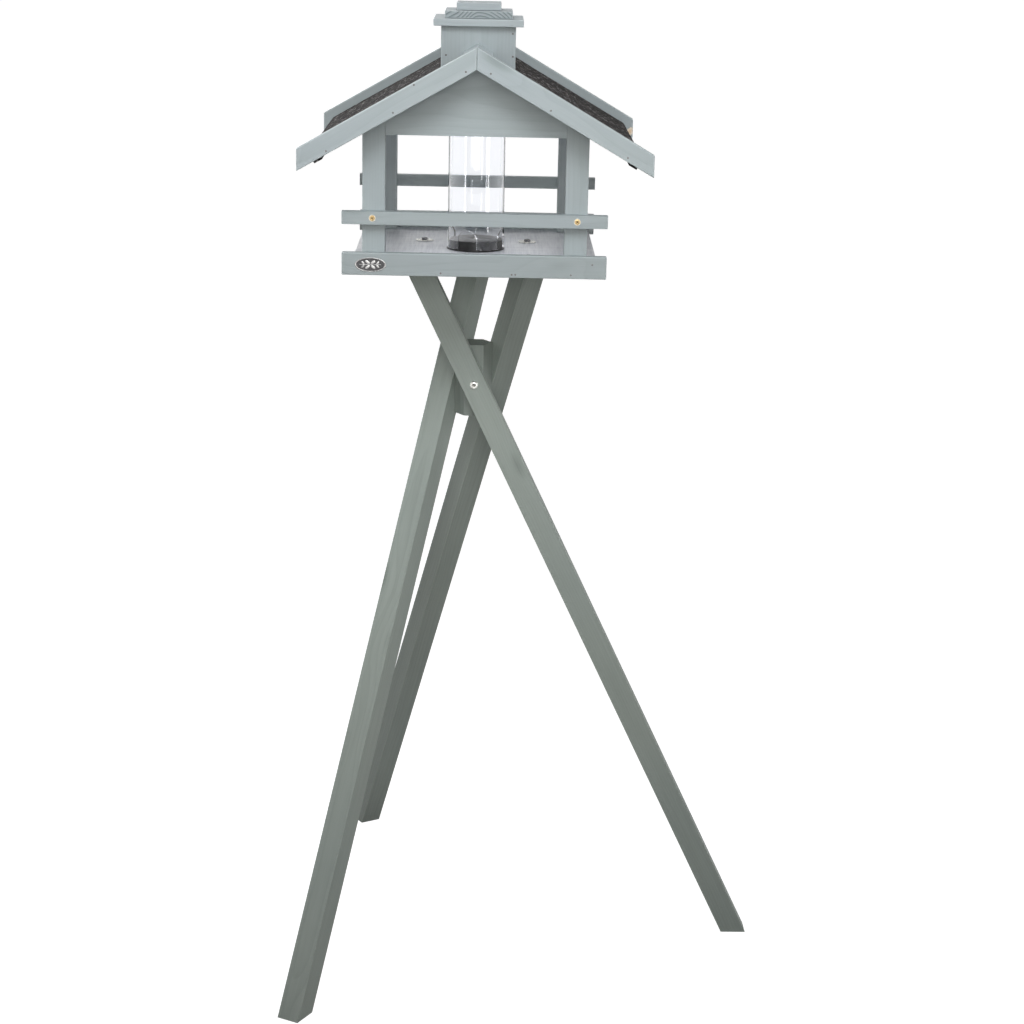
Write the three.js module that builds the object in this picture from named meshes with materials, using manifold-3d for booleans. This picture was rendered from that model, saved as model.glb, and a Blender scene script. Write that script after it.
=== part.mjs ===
/**
 * A wooden bird feeder: a small house with an open tray and a clear seed silo,
 * on a stand of three crossed legs.
 *
 * Millimetres, +Z up. The house is built about the silo's axis, x = y = 0, with
 * the ground at z = 0 and the front facing -Y. The whole group is then moved so
 * that its origin is the middle of its footprint.
 */

import * as THREE from 'three';
import { mergeVertices } from 'three/addons/utils/BufferGeometryUtils.js';
import Module from 'manifold-3d';

const wasm = await Module();
wasm.setup();

// ---------------------------------------------------------------- driving dimensions

const GAP = 0.3; // clearance left between pieces that touch

// Tray
const TRAY_Z = 963; // underside of the tray above the ground
const TRAY_WIDTH = 330; // along X, over the ends of the rims
const TRAY_DEPTH = 400; // along Y, over the rims' outer faces
const RIM_HEIGHT = 28;
const BOARD = 12; // thickness of the rims, rails, gable panels and bargeboards
const FLOOR_WIDTH = 315;
const FLOOR_THICK = 6;

// Posts and rails
const POST = 28; // side of a square post
const POST_SPAN = 280; // along X, over the outer faces of the posts
const RAIL_BOTTOM = 63; // above the tray's underside
const RAIL_HEIGHT = 16;
const GABLE_BOTTOM = 171.8; // above the tray's underside

// Roof
const PITCH = THREE.MathUtils.degToRad(29.7);
const EAVES_APEX = 255; // where the undersides of the slopes meet, above the tray's underside
const ROOF_DEPTH = 471; // along Y, over the bargeboards' outer faces
const BARGE_REACH = 217.5; // from the ridge to a bargeboard's plumb-cut end, along X
const BARGE_RISE = 27.2; // plumb height of a bargeboard
const PANEL_THICK = 10;
const FELT_THICK = 2;
const FELT_EAVE = 228; // from the ridge to the felt's eave edge, along the slope
const FELT_RETURN = 9; // how far the felt is folded back under the eave
const FELT_HEM = 3; // thickness of that fold, which hangs a little loose
const FLUE_RADIUS = 38.5; // the round hole that the silo passes through
const RIDGE_CAP_REACH = 18.8;
const RIDGE_CAP_RISE = 5.6; // plumb thickness of a ridge cap

// Chimney and lid
const CHIMNEY = 95.6; // outer side of the square chimney
const CHIMNEY_WALL = 9;
const CHIMNEY_TOP = 296; // above the tray's underside
const LID_PLATES = [
  { name: 'lid_plate_bottom', side: 115, thick: 9.3 },
  { name: 'lid_plate_middle', side: 86.6, thick: 9.3 },
  { name: 'lid_plate_top', side: 57.2, thick: 9.6 },
];
const LOCATOR = 74; // side of the block under the lid
const LOCATOR_THICK = 10;

// Silo
const TUBE_RADIUS = 37.5;
const TUBE_WALL = 2;
const TUBE_BOTTOM = 8; // above the tray's underside
const TUBE_TOP = 270;
const FEED_ARCHES = 4;
const FEED_ARCH_WIDTH = 25;
const FEED_ARCH_HEIGHT = 26;
const FEED_ARCH_TURN = THREE.MathUtils.degToRad(-18); // of the first arch, from the front
const BASE_RADIUS = 38.4; // the flange that the tube stands on
const BASE_PLUG_RADIUS = TUBE_RADIUS - TUBE_WALL - GAP;
const BASE_TOP = 19.2; // above the tray's underside

// Stand
const HEAD_BOARD = { width: 200, depth: 200, thick: 15, y: 8 };
const LEG = 31.5; // side of a square leg
const LEG_TILT = THREE.MathUtils.degToRad(25.81); // from the plumb line
const STAND_TURN = 0.85; // degrees, how far the legs and hub stand turned against the house
const CROSSING_Z = 795; // where each leg passes the hub, and its bolt
const HUB_APOTHEM = 21.8;
const HUB_Z = [746, 842.5];
const LEGS = [
  { name: 'front', turn: 0 },
  { name: 'back_left', turn: -120 },
  { name: 'back_right', turn: 120 },
];
const LEG_SCREW_OFFSET = 6; // from the middle of the leg's top, down the leg's slope
const FLOOR_SCREW_X = 69.5;
const FLOOR_SCREW_Y = { front: -76, back: 62 };

// Fasteners: shank radius, then what the head needs
const RAIL_SCREW = { shank: 2, length: 34, head: 4.2, cone: 3, x: 127 };
const HUB_BOLT = { shank: 3, depth: 16, head: 5.6, rise: 3, key: 2, keyDepth: 1.6 };
const LEG_SCREW = { shank: 2.2, length: 40, head: 4.5, cone: 3 };
const FLOOR_SCREW = { shank: 2.5, length: 16, head: 4.4, rise: 2.8 };
const WASHER = { inner: 2.8, outer: 12, thick: 1.2 };
const BASE_SCREW = { shank: 2, length: 26, head: 3.6, rise: 2 };

const BADGE = { x: -129, z: 13.6, width: 39, height: 17.5, thick: 1.2 };

const SLOPE = Math.tan(PITCH);

// ---------------------------------------------------------------- materials

const finish = (color, roughness, metalness = 0, extra = {}) =>
  new THREE.MeshStandardMaterial({ color, roughness, metalness, ...extra });

const MATERIALS = {
  houseWood: finish(0xa0a8a6, 0.75),
  legWood: finish(0x808983, 0.8),
  plywood: finish(0x8a8790, 0.7),
  felt: finish(0x2b2727, 0.95),
  acrylic: finish(0xf2f5f6, 0.08, 0, { transparent: true, opacity: 0.25 }),
  blackPlastic: finish(0x1b1b1c, 0.4),
  zinc: finish(0xc9ccce, 0.3, 1),
  darkSteel: finish(0x35363a, 0.4, 1),
  brass: finish(0xc9a24a, 0.35, 1),
  badge: finish(0x2a2a2c, 0.35, 0.6),
};

// ---------------------------------------------------------------- solids

/** A closed geometry as a solid that can be joined and cut. */
function toSolid(geometry) {
  const bare = geometry.clone();
  bare.deleteAttribute('normal');
  bare.deleteAttribute('uv');
  const merged = mergeVertices(bare, 1e-4);
  return new wasm.Manifold(new wasm.Mesh({
    numProp: 3,
    vertProperties: new Float32Array(merged.attributes.position.array),
    triVerts: new Uint32Array(merged.index.array),
  }));
}

/** A solid as a geometry. */
function toGeometry(solid) {
  const { vertProperties, triVerts } = solid.getMesh();
  const geometry = new THREE.BufferGeometry();
  geometry.setAttribute('position', new THREE.BufferAttribute(vertProperties, 3));
  geometry.setIndex(new THREE.BufferAttribute(triVerts, 1));
  geometry.computeVertexNormals();
  return geometry;
}

/** The geometry with each of the tools cut away from it. */
function cut(geometry, tools) {
  return toGeometry(tools.reduce((solid, tool) => solid.subtract(toSolid(tool)), toSolid(geometry)));
}

/** A box between two corners, each [x, y, z]. */
function block(low, high) {
  const size = high.map((value, axis) => value - low[axis]);
  return new THREE.BoxGeometry(...size).translate(...low.map((value, axis) => value + size[axis] / 2));
}

/** An outline drawn in the front view, as [x, z] points, and carried from y0 to y1. */
function frontExtrusion(outline, y0, y1) {
  const shape = new THREE.Shape(outline.map(([x, z]) => new THREE.Vector2(x, z)));
  const geometry = new THREE.ExtrudeGeometry(shape, { depth: y1 - y0, bevelEnabled: false });
  return geometry.rotateX(Math.PI / 2).translate(0, y1, 0);
}

/** A cylinder from one point to another. */
function rod(radius, from, to, sides = 16) {
  const start = new THREE.Vector3(...from);
  const run = new THREE.Vector3(...to).sub(start);
  const middle = start.clone().addScaledVector(run, 0.5);
  const turn = new THREE.Quaternion().setFromUnitVectors(new THREE.Vector3(0, 1, 0), run.clone().normalize());
  return new THREE.CylinderGeometry(radius, radius, run.length(), sides)
    .applyQuaternion(turn)
    .translate(middle.x, middle.y, middle.z);
}

/** A turned solid about the Z axis, from [radius, z] points. */
function turned(profile, sides = 16) {
  return new THREE.LatheGeometry(profile.map(([r, z]) => new THREE.Vector2(r, z)), sides).rotateX(Math.PI / 2);
}

/** Points a solid that was made along +Z the way of a unit vector, and moves it to a point. */
function aim(geometry, direction, at) {
  const turn = new THREE.Quaternion().setFromUnitVectors(
    new THREE.Vector3(0, 0, 1),
    new THREE.Vector3(...direction),
  );
  return geometry.applyQuaternion(turn).translate(...at);
}

/** A countersunk screw with its head's flat face at z = 0 and its shank down -Z. */
function countersunkScrew({ shank, length, head, cone }) {
  const body = turned([[0, -length], [shank * 0.4, -length], [shank, -length + 4], [shank, -cone], [head, 0], [0, 0]]);
  return cut(body, [rod(head * 0.36, [0, 0, -1.2], [0, 0, 1], 6)]);
}

/** The hole that a countersunk screw needs, from z = 0 down -Z. */
function countersunkHole({ shank, length, head, cone }) {
  const clear = shank + GAP;
  return turned([
    [0, -length - GAP],
    [clear, -length - GAP],
    [clear, -cone - GAP],
    [head + GAP, 0],
    [head + GAP, 5],
    [0, 5],
  ]);
}

const parts = new THREE.Group();

/** Adds a named mesh to a group. */
function add(name, geometry, material, group = parts) {
  const mesh = new THREE.Mesh(geometry, material);
  mesh.name = name;
  group.add(mesh);
  return mesh;
}

const ENDS = [{ end: 'front', sign: -1 }, { end: 'back', sign: 1 }];
const SIDES = [{ side: 'left', sign: -1 }, { side: 'right', sign: 1 }];

/** The height of the roof panels' underside at a distance from the ridge. */
const soffit = (x) => TRAY_Z + EAVES_APEX - SLOPE * Math.abs(x);

// Plumb heights above the soffit
const PLUMB = 1 / Math.cos(PITCH); // plumb thickness for each unit of thickness
const panelTop = PANEL_THICK * PLUMB;
const feltBottom = panelTop + GAP;
const feltTop = feltBottom + FELT_THICK * PLUMB;

/** A board that follows one slope: its underside and top are plumb distances above the soffit. */
function slopeOutline(sign, from, to, under, over) {
  return [
    [sign * from, soffit(from) + under],
    [sign * to, soffit(to) + under],
    [sign * to, soffit(to) + over],
    [sign * from, soffit(from) + over],
  ];
}

/** Outlines have to run anticlockwise, so a mirrored one is turned round. */
const facing = (sign, outline) => (sign > 0 ? outline : [...outline].reverse());

// ---------------------------------------------------------------- tray

const yRim = TRAY_DEPTH / 2; // outer face of a rim and of a rail
const yPost = yRim - BOARD - GAP; // outer face of a post and of a gable panel
const floorTop = TRAY_Z + FLOOR_THICK;
const floorScrewSpots = ENDS.flatMap(({ end, sign: ySign }) =>
  SIDES.map(({ side, sign: xSign }) => ({
    label: `${end}_${side}`,
    x: xSign * FLOOR_SCREW_X,
    y: FLOOR_SCREW_Y[end],
  })));

function makeTray() {
  const floor = block([-FLOOR_WIDTH / 2, -yPost, TRAY_Z], [FLOOR_WIDTH / 2, yPost, floorTop]);
  const holes = [...floorScrewSpots, { x: 0, y: 0 }].map(({ x, y }) =>
    rod(FLOOR_SCREW.shank + GAP, [x, y, TRAY_Z - 1], [x, y, floorTop + 1]));
  add('tray_floor', cut(floor, holes), MATERIALS.plywood);
  for (const { end, sign } of ENDS) {
    const faces = [sign * yRim, sign * (yRim - BOARD)].sort((a, b) => a - b);
    const low = [-TRAY_WIDTH / 2, faces[0], TRAY_Z];
    const high = [TRAY_WIDTH / 2, faces[1], TRAY_Z + RIM_HEIGHT];
    add(`tray_rim_${end}`, block(low, high), MATERIALS.houseWood);
  }
  const badge = new THREE.CylinderGeometry(0.5, 0.5, BADGE.thick, 48).scale(BADGE.width, 1, BADGE.height);
  badge.translate(BADGE.x, -yRim - GAP - BADGE.thick / 2, TRAY_Z + BADGE.z);
  add('badge_plate', badge, MATERIALS.badge);
}

// ---------------------------------------------------------------- walls

const railScrewZ = TRAY_Z + RAIL_BOTTOM + RAIL_HEIGHT / 2;

/** Moves a screw, or its hole, from the Z axis to one of the four rail joints. */
const toRailJoint = (geometry, xSign, ySign) =>
  aim(geometry, [0, ySign, 0], [xSign * RAIL_SCREW.x, ySign * yRim, railScrewZ]);

function makePosts() {
  const outer = POST_SPAN / 2;
  for (const { end, sign: ySign } of ENDS) {
    const faces = [ySign * yPost, ySign * (yPost - POST)].sort((a, b) => a - b);
    for (const { side, sign: xSign } of SIDES) {
      const outline = [
        [xSign * (outer - POST), floorTop + GAP],
        [xSign * outer, floorTop + GAP],
        [xSign * outer, soffit(outer) - GAP],
        [xSign * (outer - POST), soffit(outer - POST) - GAP],
      ];
      const post = frontExtrusion(facing(xSign, outline), ...faces);
      const hole = toRailJoint(countersunkHole(RAIL_SCREW), xSign, ySign);
      add(`post_${end}_${side}`, cut(post, [hole]), MATERIALS.houseWood);
    }
  }
}

function makeRails() {
  for (const { end, sign: ySign } of ENDS) {
    const faces = [ySign * yRim, ySign * (yRim - BOARD)].sort((a, b) => a - b);
    const low = [-TRAY_WIDTH / 2, faces[0], TRAY_Z + RAIL_BOTTOM];
    const high = [TRAY_WIDTH / 2, faces[1], TRAY_Z + RAIL_BOTTOM + RAIL_HEIGHT];
    const holes = SIDES.map(({ sign: xSign }) => toRailJoint(countersunkHole(RAIL_SCREW), xSign, ySign));
    add(`rail_${end}`, cut(block(low, high), holes), MATERIALS.houseWood);
    for (const { side, sign: xSign } of SIDES) {
      const screw = toRailJoint(countersunkScrew(RAIL_SCREW), xSign, ySign);
      add(`rail_screw_${end}_${side}`, screw, MATERIALS.brass);
    }
  }
}

function makeGables() {
  const half = POST_SPAN / 2 - POST - GAP;
  const outline = [
    [-half, TRAY_Z + GABLE_BOTTOM],
    [half, TRAY_Z + GABLE_BOTTOM],
    [half, soffit(half) - GAP],
    [0, soffit(0) - GAP],
    [-half, soffit(half) - GAP],
  ];
  for (const { end, sign } of ENDS) {
    const faces = [sign * yPost, sign * (yPost - BOARD)].sort((a, b) => a - b);
    add(`gable_panel_${end}`, frontExtrusion(outline, ...faces), MATERIALS.houseWood);
  }
}

// ---------------------------------------------------------------- roof

/** The felt's section: over the panel, down its eave and back underneath. */
function feltOutline(sign) {
  const along = new THREE.Vector2(Math.cos(PITCH), -Math.sin(PITCH));
  const out = new THREE.Vector2(Math.sin(PITCH), Math.cos(PITCH));
  const ridge = new THREE.Vector2(0, soffit(0));
  const at = (s, height) => {
    const point = ridge.clone().addScaledVector(along, s).addScaledVector(out, height);
    return [sign * point.x, point.y];
  };
  const inside = FELT_EAVE - FELT_THICK;
  const over = PANEL_THICK + GAP * Math.cos(PITCH);
  const top = over + FELT_THICK;
  const plumbCut = (height) => GAP / 2 / Math.cos(PITCH) - height * SLOPE;
  return facing(sign, [
    at(plumbCut(over), over),
    at(inside, over),
    at(inside, -GAP),
    at(inside - FELT_RETURN, -GAP),
    at(inside - FELT_RETURN, -GAP - FELT_HEM),
    at(FELT_EAVE, -GAP - FELT_HEM),
    at(FELT_EAVE, top),
    at(plumbCut(top), top),
  ].reverse());
}

/** The panel's section, cut plumb at the ridge and square at the eave. */
function panelOutline(sign) {
  const end = FELT_EAVE - FELT_THICK - GAP;
  const low = end * Math.cos(PITCH);
  const high = low + PANEL_THICK * Math.sin(PITCH);
  return facing(sign, [
    [sign * (GAP / 2), soffit(GAP / 2)],
    [sign * low, soffit(low)],
    [sign * high, soffit(high) + panelTop],
    [sign * (GAP / 2), soffit(GAP / 2) + panelTop],
  ]);
}

const yBarge = ROOF_DEPTH / 2; // outer face of a bargeboard
const ySlope = yBarge - BOARD - GAP; // end of the roof panels and felt

function makeRoof() {
  const flue = rod(FLUE_RADIUS, [0, 0, TRAY_Z + 150], [0, 0, TRAY_Z + 350], 64);
  for (const { side, sign } of SIDES) {
    const panel = frontExtrusion(panelOutline(sign), -ySlope, ySlope);
    add(`roof_panel_${side}`, cut(panel, [flue]), MATERIALS.houseWood);
    const felt = frontExtrusion(feltOutline(sign), -ySlope, ySlope);
    add(`roof_felt_${side}`, cut(felt, [flue]), MATERIALS.felt);
    for (const { end, sign: ySign } of ENDS) {
      const faces = [ySign * yBarge, ySign * (yBarge - BOARD)].sort((a, b) => a - b);
      const outline = facing(sign, slopeOutline(sign, GAP / 2, BARGE_REACH, 0, BARGE_RISE));
      add(`bargeboard_${end}_${side}`, frontExtrusion(outline, ...faces), MATERIALS.houseWood);
    }
  }
}

function makeRidgeCaps() {
  const under = feltTop + GAP;
  const over = under + RIDGE_CAP_RISE;
  const outline = [
    [-RIDGE_CAP_REACH, soffit(RIDGE_CAP_REACH) + under],
    [0, soffit(0) + under],
    [RIDGE_CAP_REACH, soffit(RIDGE_CAP_REACH) + under],
    [RIDGE_CAP_REACH, soffit(RIDGE_CAP_REACH) + over],
    [0, soffit(0) + over],
    [-RIDGE_CAP_REACH, soffit(RIDGE_CAP_REACH) + over],
  ];
  for (const { end, sign } of ENDS) {
    const faces = [sign * ySlope, sign * (CHIMNEY / 2 + GAP)].sort((a, b) => a - b);
    add(`ridge_cap_${end}`, frontExtrusion(outline, ...faces), MATERIALS.houseWood);
  }
}

// ---------------------------------------------------------------- chimney and lid

function makeChimney() {
  const half = CHIMNEY / 2;
  const inner = half - CHIMNEY_WALL;
  const top = TRAY_Z + CHIMNEY_TOP;
  const foot = (x) => soffit(x) + feltTop + GAP;
  const wide = [[-half, foot(half)], [0, foot(0)], [half, foot(half)], [half, top], [-half, top]];
  for (const { end, sign } of ENDS) {
    const faces = [sign * half, sign * inner].sort((a, b) => a - b);
    add(`chimney_wall_${end}`, frontExtrusion(wide, ...faces), MATERIALS.houseWood);
  }
  for (const { side, sign } of SIDES) {
    const outline = [
      [sign * inner, foot(inner)],
      [sign * half, foot(half)],
      [sign * half, top],
      [sign * inner, top],
    ];
    const wall = frontExtrusion(facing(sign, outline), -inner + GAP, inner - GAP);
    add(`chimney_wall_${side}`, wall, MATERIALS.houseWood);
  }
}

/** A square plate centred on the silo's axis. */
const squarePlate = (side, low, high) => block([-side / 2, -side / 2, low], [side / 2, side / 2, high]);

function makeLid() {
  let z = TRAY_Z + CHIMNEY_TOP + GAP;
  const locator = squarePlate(LOCATOR, z - GAP - LOCATOR_THICK, z - GAP);
  add('lid_locating_block', locator, MATERIALS.houseWood);
  for (const { name, side, thick } of LID_PLATES) {
    add(name, squarePlate(side, z, z + thick - GAP), MATERIALS.houseWood);
    z += thick;
  }
}

// ---------------------------------------------------------------- silo

/** One feed cut-out, an arch through the tube's wall that faces -Y. */
function feedArch() {
  const half = FEED_ARCH_WIDTH / 2;
  const spring = TRAY_Z + TUBE_BOTTOM + FEED_ARCH_HEIGHT - half;
  const shape = new THREE.Shape();
  shape.moveTo(-half, TRAY_Z + TUBE_BOTTOM - 1);
  shape.lineTo(half, TRAY_Z + TUBE_BOTTOM - 1);
  shape.lineTo(half, spring);
  shape.absarc(0, spring, half, 0, Math.PI, false);
  const geometry = new THREE.ExtrudeGeometry(shape, { depth: 12, bevelEnabled: false, curveSegments: 12 });
  return geometry.rotateX(Math.PI / 2).translate(0, -TUBE_RADIUS + 6, 0);
}

function makeSilo() {
  const inner = TUBE_RADIUS - TUBE_WALL;
  const low = TRAY_Z + TUBE_BOTTOM + GAP;
  const high = TRAY_Z + TUBE_TOP;
  const tube = turned([[inner, low], [TUBE_RADIUS, low], [TUBE_RADIUS, high], [inner, high], [inner, low]], 64);
  const arches = Array.from({ length: FEED_ARCHES }, (_, i) =>
    feedArch().rotateZ(FEED_ARCH_TURN + (i * 2 * Math.PI) / FEED_ARCHES));
  add('silo_tube', cut(tube, arches), MATERIALS.acrylic);

  const foot = floorTop + GAP;
  const ledge = TRAY_Z + TUBE_BOTTOM;
  const plugTop = TRAY_Z + BASE_TOP;
  const body = turned([
    [0, foot],
    [BASE_RADIUS, foot],
    [BASE_RADIUS, ledge],
    [BASE_PLUG_RADIUS, ledge],
    [BASE_PLUG_RADIUS, plugTop],
    [0, plugTop],
  ], 64);
  const headSeat = plugTop - BASE_SCREW.rise - GAP;
  const recess = rod(BASE_SCREW.head + GAP, [0, 0, headSeat], [0, 0, plugTop + 1]);
  const hole = rod(BASE_SCREW.shank + GAP, [0, 0, foot - 1], [0, 0, plugTop + 1]);
  add('silo_base', cut(body, [recess, hole]), MATERIALS.blackPlastic);

  const under = headSeat + GAP;
  const { shank, length, head, rise } = BASE_SCREW;
  const screw = turned([
    [0, under - length],
    [shank * 0.4, under - length],
    [shank, under - length + 4],
    [shank, under],
    [head, under],
    [head, under + rise * 0.5],
    [head * 0.6, under + rise],
    [0, under + rise],
  ]);
  const key = rod(1.5, [0, 0, under + rise - 1.2], [0, 0, under + rise + 1], 6);
  add('silo_base_screw', cut(screw, [key]), MATERIALS.zinc);
}

// ---------------------------------------------------------------- stand

const headTop = TRAY_Z - GAP;
const headBottom = headTop - HEAD_BOARD.thick;
const legTop = headBottom - GAP;
const legInner = HUB_APOTHEM + GAP; // a leg's face against the hub, from the axis
const legMiddle = legInner + LEG / 2;
const legLean = Math.tan(LEG_TILT);

/** Where the middle of a leg is at a height, along the leg's own plane. */
const legAt = (z) => (CROSSING_Z - z) * legLean;

/** The spot of a leg's top screw, in the leg's own frame. */
const legScrewSpot = [legAt(legTop) + LEG_SCREW_OFFSET, -legMiddle];

/** A leg's turn about the hub's axis, in radians. */
const legTurn = (turn) => THREE.MathUtils.degToRad(turn + STAND_TURN);

function makeLegs(stand) {
  const half = LEG / 2 / Math.cos(LEG_TILT);
  const outline = [
    [legAt(0) - half, 0],
    [legAt(0) + half, 0],
    [legAt(legTop) + half, legTop],
    [legAt(legTop) - half, legTop],
  ];
  for (const { name, turn } of LEGS) {
    const group = new THREE.Group();
    group.rotation.z = legTurn(turn);
    stand.add(group);

    const bar = frontExtrusion(outline, -legInner - LEG, -legInner);
    const boltHole = rod(HUB_BOLT.shank + GAP, [0, -legInner - LEG - 1, CROSSING_Z], [0, -legInner + 1, CROSSING_Z]);
    const screwDepth = headTop - LEG_SCREW.length - GAP;
    const screwHole = rod(LEG_SCREW.shank + GAP, [...legScrewSpot, screwDepth], [...legScrewSpot, legTop + 1]);
    add(`leg_${name}`, cut(bar, [boltHole, screwHole]), MATERIALS.legWood, group);
    add(`hub_bolt_${name}`, hubBolt(), MATERIALS.zinc, group);

    const screw = countersunkScrew(LEG_SCREW).translate(...legScrewSpot, headTop - GAP);
    add(`leg_top_screw_${name}`, screw, MATERIALS.zinc, group);
  }
}

/** The button-head bolt through the front leg and into the hub, in the leg's own frame. */
function hubBolt() {
  const { shank, depth, head, rise, key, keyDepth } = HUB_BOLT;
  const length = LEG + 2 * GAP + depth;
  const body = turned([
    [0, -length],
    [shank, -length],
    [shank, 0],
    [head, 0],
    [head, rise * 0.3],
    [head * 0.86, rise * 0.72],
    [head * 0.55, rise],
    [0, rise],
  ]);
  const recess = rod(key, [0, 0, rise - keyDepth], [0, 0, rise + 1], 6);
  return aim(cut(body, [recess]), [0, -1, 0], [0, -legInner - LEG - GAP, CROSSING_Z]);
}

function makeHub(stand) {
  const corner = HUB_APOTHEM / Math.cos(Math.PI / 6);
  const [low, high] = HUB_Z;
  const prism = rod(corner, [0, 0, low], [0, 0, high], 6).rotateZ(Math.PI / 6 + legTurn(0));
  const holes = LEGS.map(({ turn }) =>
    rod(HUB_BOLT.shank + GAP, [0, -HUB_APOTHEM - 1, CROSSING_Z], [0, -HUB_APOTHEM + HUB_BOLT.depth + GAP, CROSSING_Z])
      .rotateZ(legTurn(turn)));
  add('hub_block', cut(prism, holes), MATERIALS.legWood, stand);
}

function makeHeadBoard(stand) {
  const { width, depth, thick, y } = HEAD_BOARD;
  const board = block([-width / 2, y - depth / 2, headTop - thick], [width / 2, y + depth / 2, headTop]);
  const screwDepth = floorTop + WASHER.thick + 2 * GAP - FLOOR_SCREW.length - GAP;
  const floorHoles = floorScrewSpots.map(({ x, y: spotY }) =>
    rod(FLOOR_SCREW.shank + GAP, [x, spotY, screwDepth], [x, spotY, headTop + 1]));
  const legHoles = LEGS.map(({ turn }) =>
    countersunkHole(LEG_SCREW)
      .translate(...legScrewSpot, headTop)
      .rotateZ(legTurn(turn)));
  const middleHole = rod(BASE_SCREW.shank + GAP, [0, 0, headBottom + 1], [0, 0, headTop + 1]);
  const holes = [...floorHoles, ...legHoles, middleHole];
  add('stand_head_board', cut(board, holes), MATERIALS.legWood, stand);
}

/** The screws that hold the tray floor down, each with its washer. */
function makeFloorScrews(stand) {
  const washerLow = floorTop + GAP;
  const under = washerLow + WASHER.thick + GAP;
  const { shank, length, head, rise } = FLOOR_SCREW;
  for (const { label, x, y } of floorScrewSpots) {
    const washer = turned([
      [WASHER.inner, washerLow],
      [WASHER.outer, washerLow],
      [WASHER.outer, washerLow + WASHER.thick],
      [WASHER.inner, washerLow + WASHER.thick],
      [WASHER.inner, washerLow],
    ], 32);
    add(`floor_washer_${label}`, washer.translate(x, y, 0), MATERIALS.zinc, stand);

    const shaft = rod(shank, [x, y, under - length], [x, y, under + rise * 0.5]);
    const hexagon = rod(head, [x, y, under], [x, y, under + rise], 6);
    const screw = toGeometry(toSolid(shaft).add(toSolid(hexagon)));
    add(`floor_screw_${label}`, screw, MATERIALS.darkSteel, stand);
  }
}

// ---------------------------------------------------------------- assembly

makeTray();
makePosts();
makeRails();
makeGables();
makeRoof();
makeRidgeCaps();
makeChimney();
makeLid();
makeSilo();

const stand = new THREE.Group();
parts.add(stand);
makeHeadBoard(stand);
makeHub(stand);
makeLegs(stand);
makeFloorScrews(stand);

// The origin goes to the middle of the footprint, on the ground.
parts.updateMatrixWorld(true);
const footprint = new THREE.Box3().setFromObject(parts, true).getCenter(new THREE.Vector3());
parts.position.set(-footprint.x, -footprint.y, 0);

const feeder = new THREE.Group();
feeder.add(parts);

export default feeder;
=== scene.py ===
"""A wooden bird house feeder on a stand of three crossed legs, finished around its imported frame.

Every board stands where the CAD puts it: its edges are eased, and it gets grain that runs its own
way. The small metalwork, the nails, the badge and the mineral surface of the roof felt are added.
"""
import logging
import math
from collections.abc import Callable, Iterable
from dataclasses import dataclass, field
from enum import Enum
from random import Random

import bpy
import numpy as np
from mathutils import Matrix, Vector


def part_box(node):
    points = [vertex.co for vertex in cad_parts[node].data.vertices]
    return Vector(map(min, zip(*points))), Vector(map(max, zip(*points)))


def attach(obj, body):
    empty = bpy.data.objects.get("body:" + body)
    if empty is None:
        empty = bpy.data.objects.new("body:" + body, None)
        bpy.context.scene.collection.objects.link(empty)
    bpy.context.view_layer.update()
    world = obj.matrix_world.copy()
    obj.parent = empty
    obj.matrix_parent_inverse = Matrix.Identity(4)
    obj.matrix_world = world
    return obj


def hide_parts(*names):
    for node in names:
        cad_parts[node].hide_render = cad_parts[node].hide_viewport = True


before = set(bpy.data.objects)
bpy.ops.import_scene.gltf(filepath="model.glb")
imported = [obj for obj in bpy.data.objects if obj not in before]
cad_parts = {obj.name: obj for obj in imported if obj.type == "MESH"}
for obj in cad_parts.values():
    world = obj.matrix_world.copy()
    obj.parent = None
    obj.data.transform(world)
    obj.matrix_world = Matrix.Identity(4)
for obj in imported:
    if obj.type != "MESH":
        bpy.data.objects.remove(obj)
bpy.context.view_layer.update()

LOG = logging.getLogger("feeder")
MM = 0.001

MERGE_GAP = 2e-5  # corners of a CAD mesh that lie closer than this are one corner, in metres
HAIR = 1e-5  # a length that counts as nothing, in metres
FLAT_DEGREES = 0.4  # faces that meet at less than this are one face
SHARP_DEGREES = 32  # a board's edges that bend more than this are eased
EASED_MARK = 1  # the material slot that marks the faces that easing makes
WITH_GRAIN = 0.3  # a face whose normal leans less than this along the grain runs with it
END_GRAIN = 0.72  # a face whose normal leans more than this along the grain is an end

# ---------------------------------------------------------------- the house's own place


def middle_of(node: str) -> Vector:
    """Gives the middle of a node's box at rest."""
    low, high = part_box(node)
    return (low + high) / 2


AXIS = middle_of("silo_tube")
TRAY_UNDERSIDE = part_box("tray_rim_front")[0].z
PITCH = math.radians(29.7)
STAND_TURN = math.radians(0.85)
LEG_TURNS = {"front": 0.0, "back_left": -120.0, "back_right": 120.0}


def house(x: float, y: float, z: float) -> Vector:
    """Gives a place in the house's own millimetres as metres in the frame.

    Args:
        x: millimetres to the right of the silo's axis.
        y: millimetres behind the silo's axis.
        z: millimetres above the tray's underside.

    Returns:
        The place in the frame.
    """
    return Vector((AXIS.x + x * MM, AXIS.y + y * MM, TRAY_UNDERSIDE + z * MM))


# ---------------------------------------------------------------- shader maths


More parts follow.
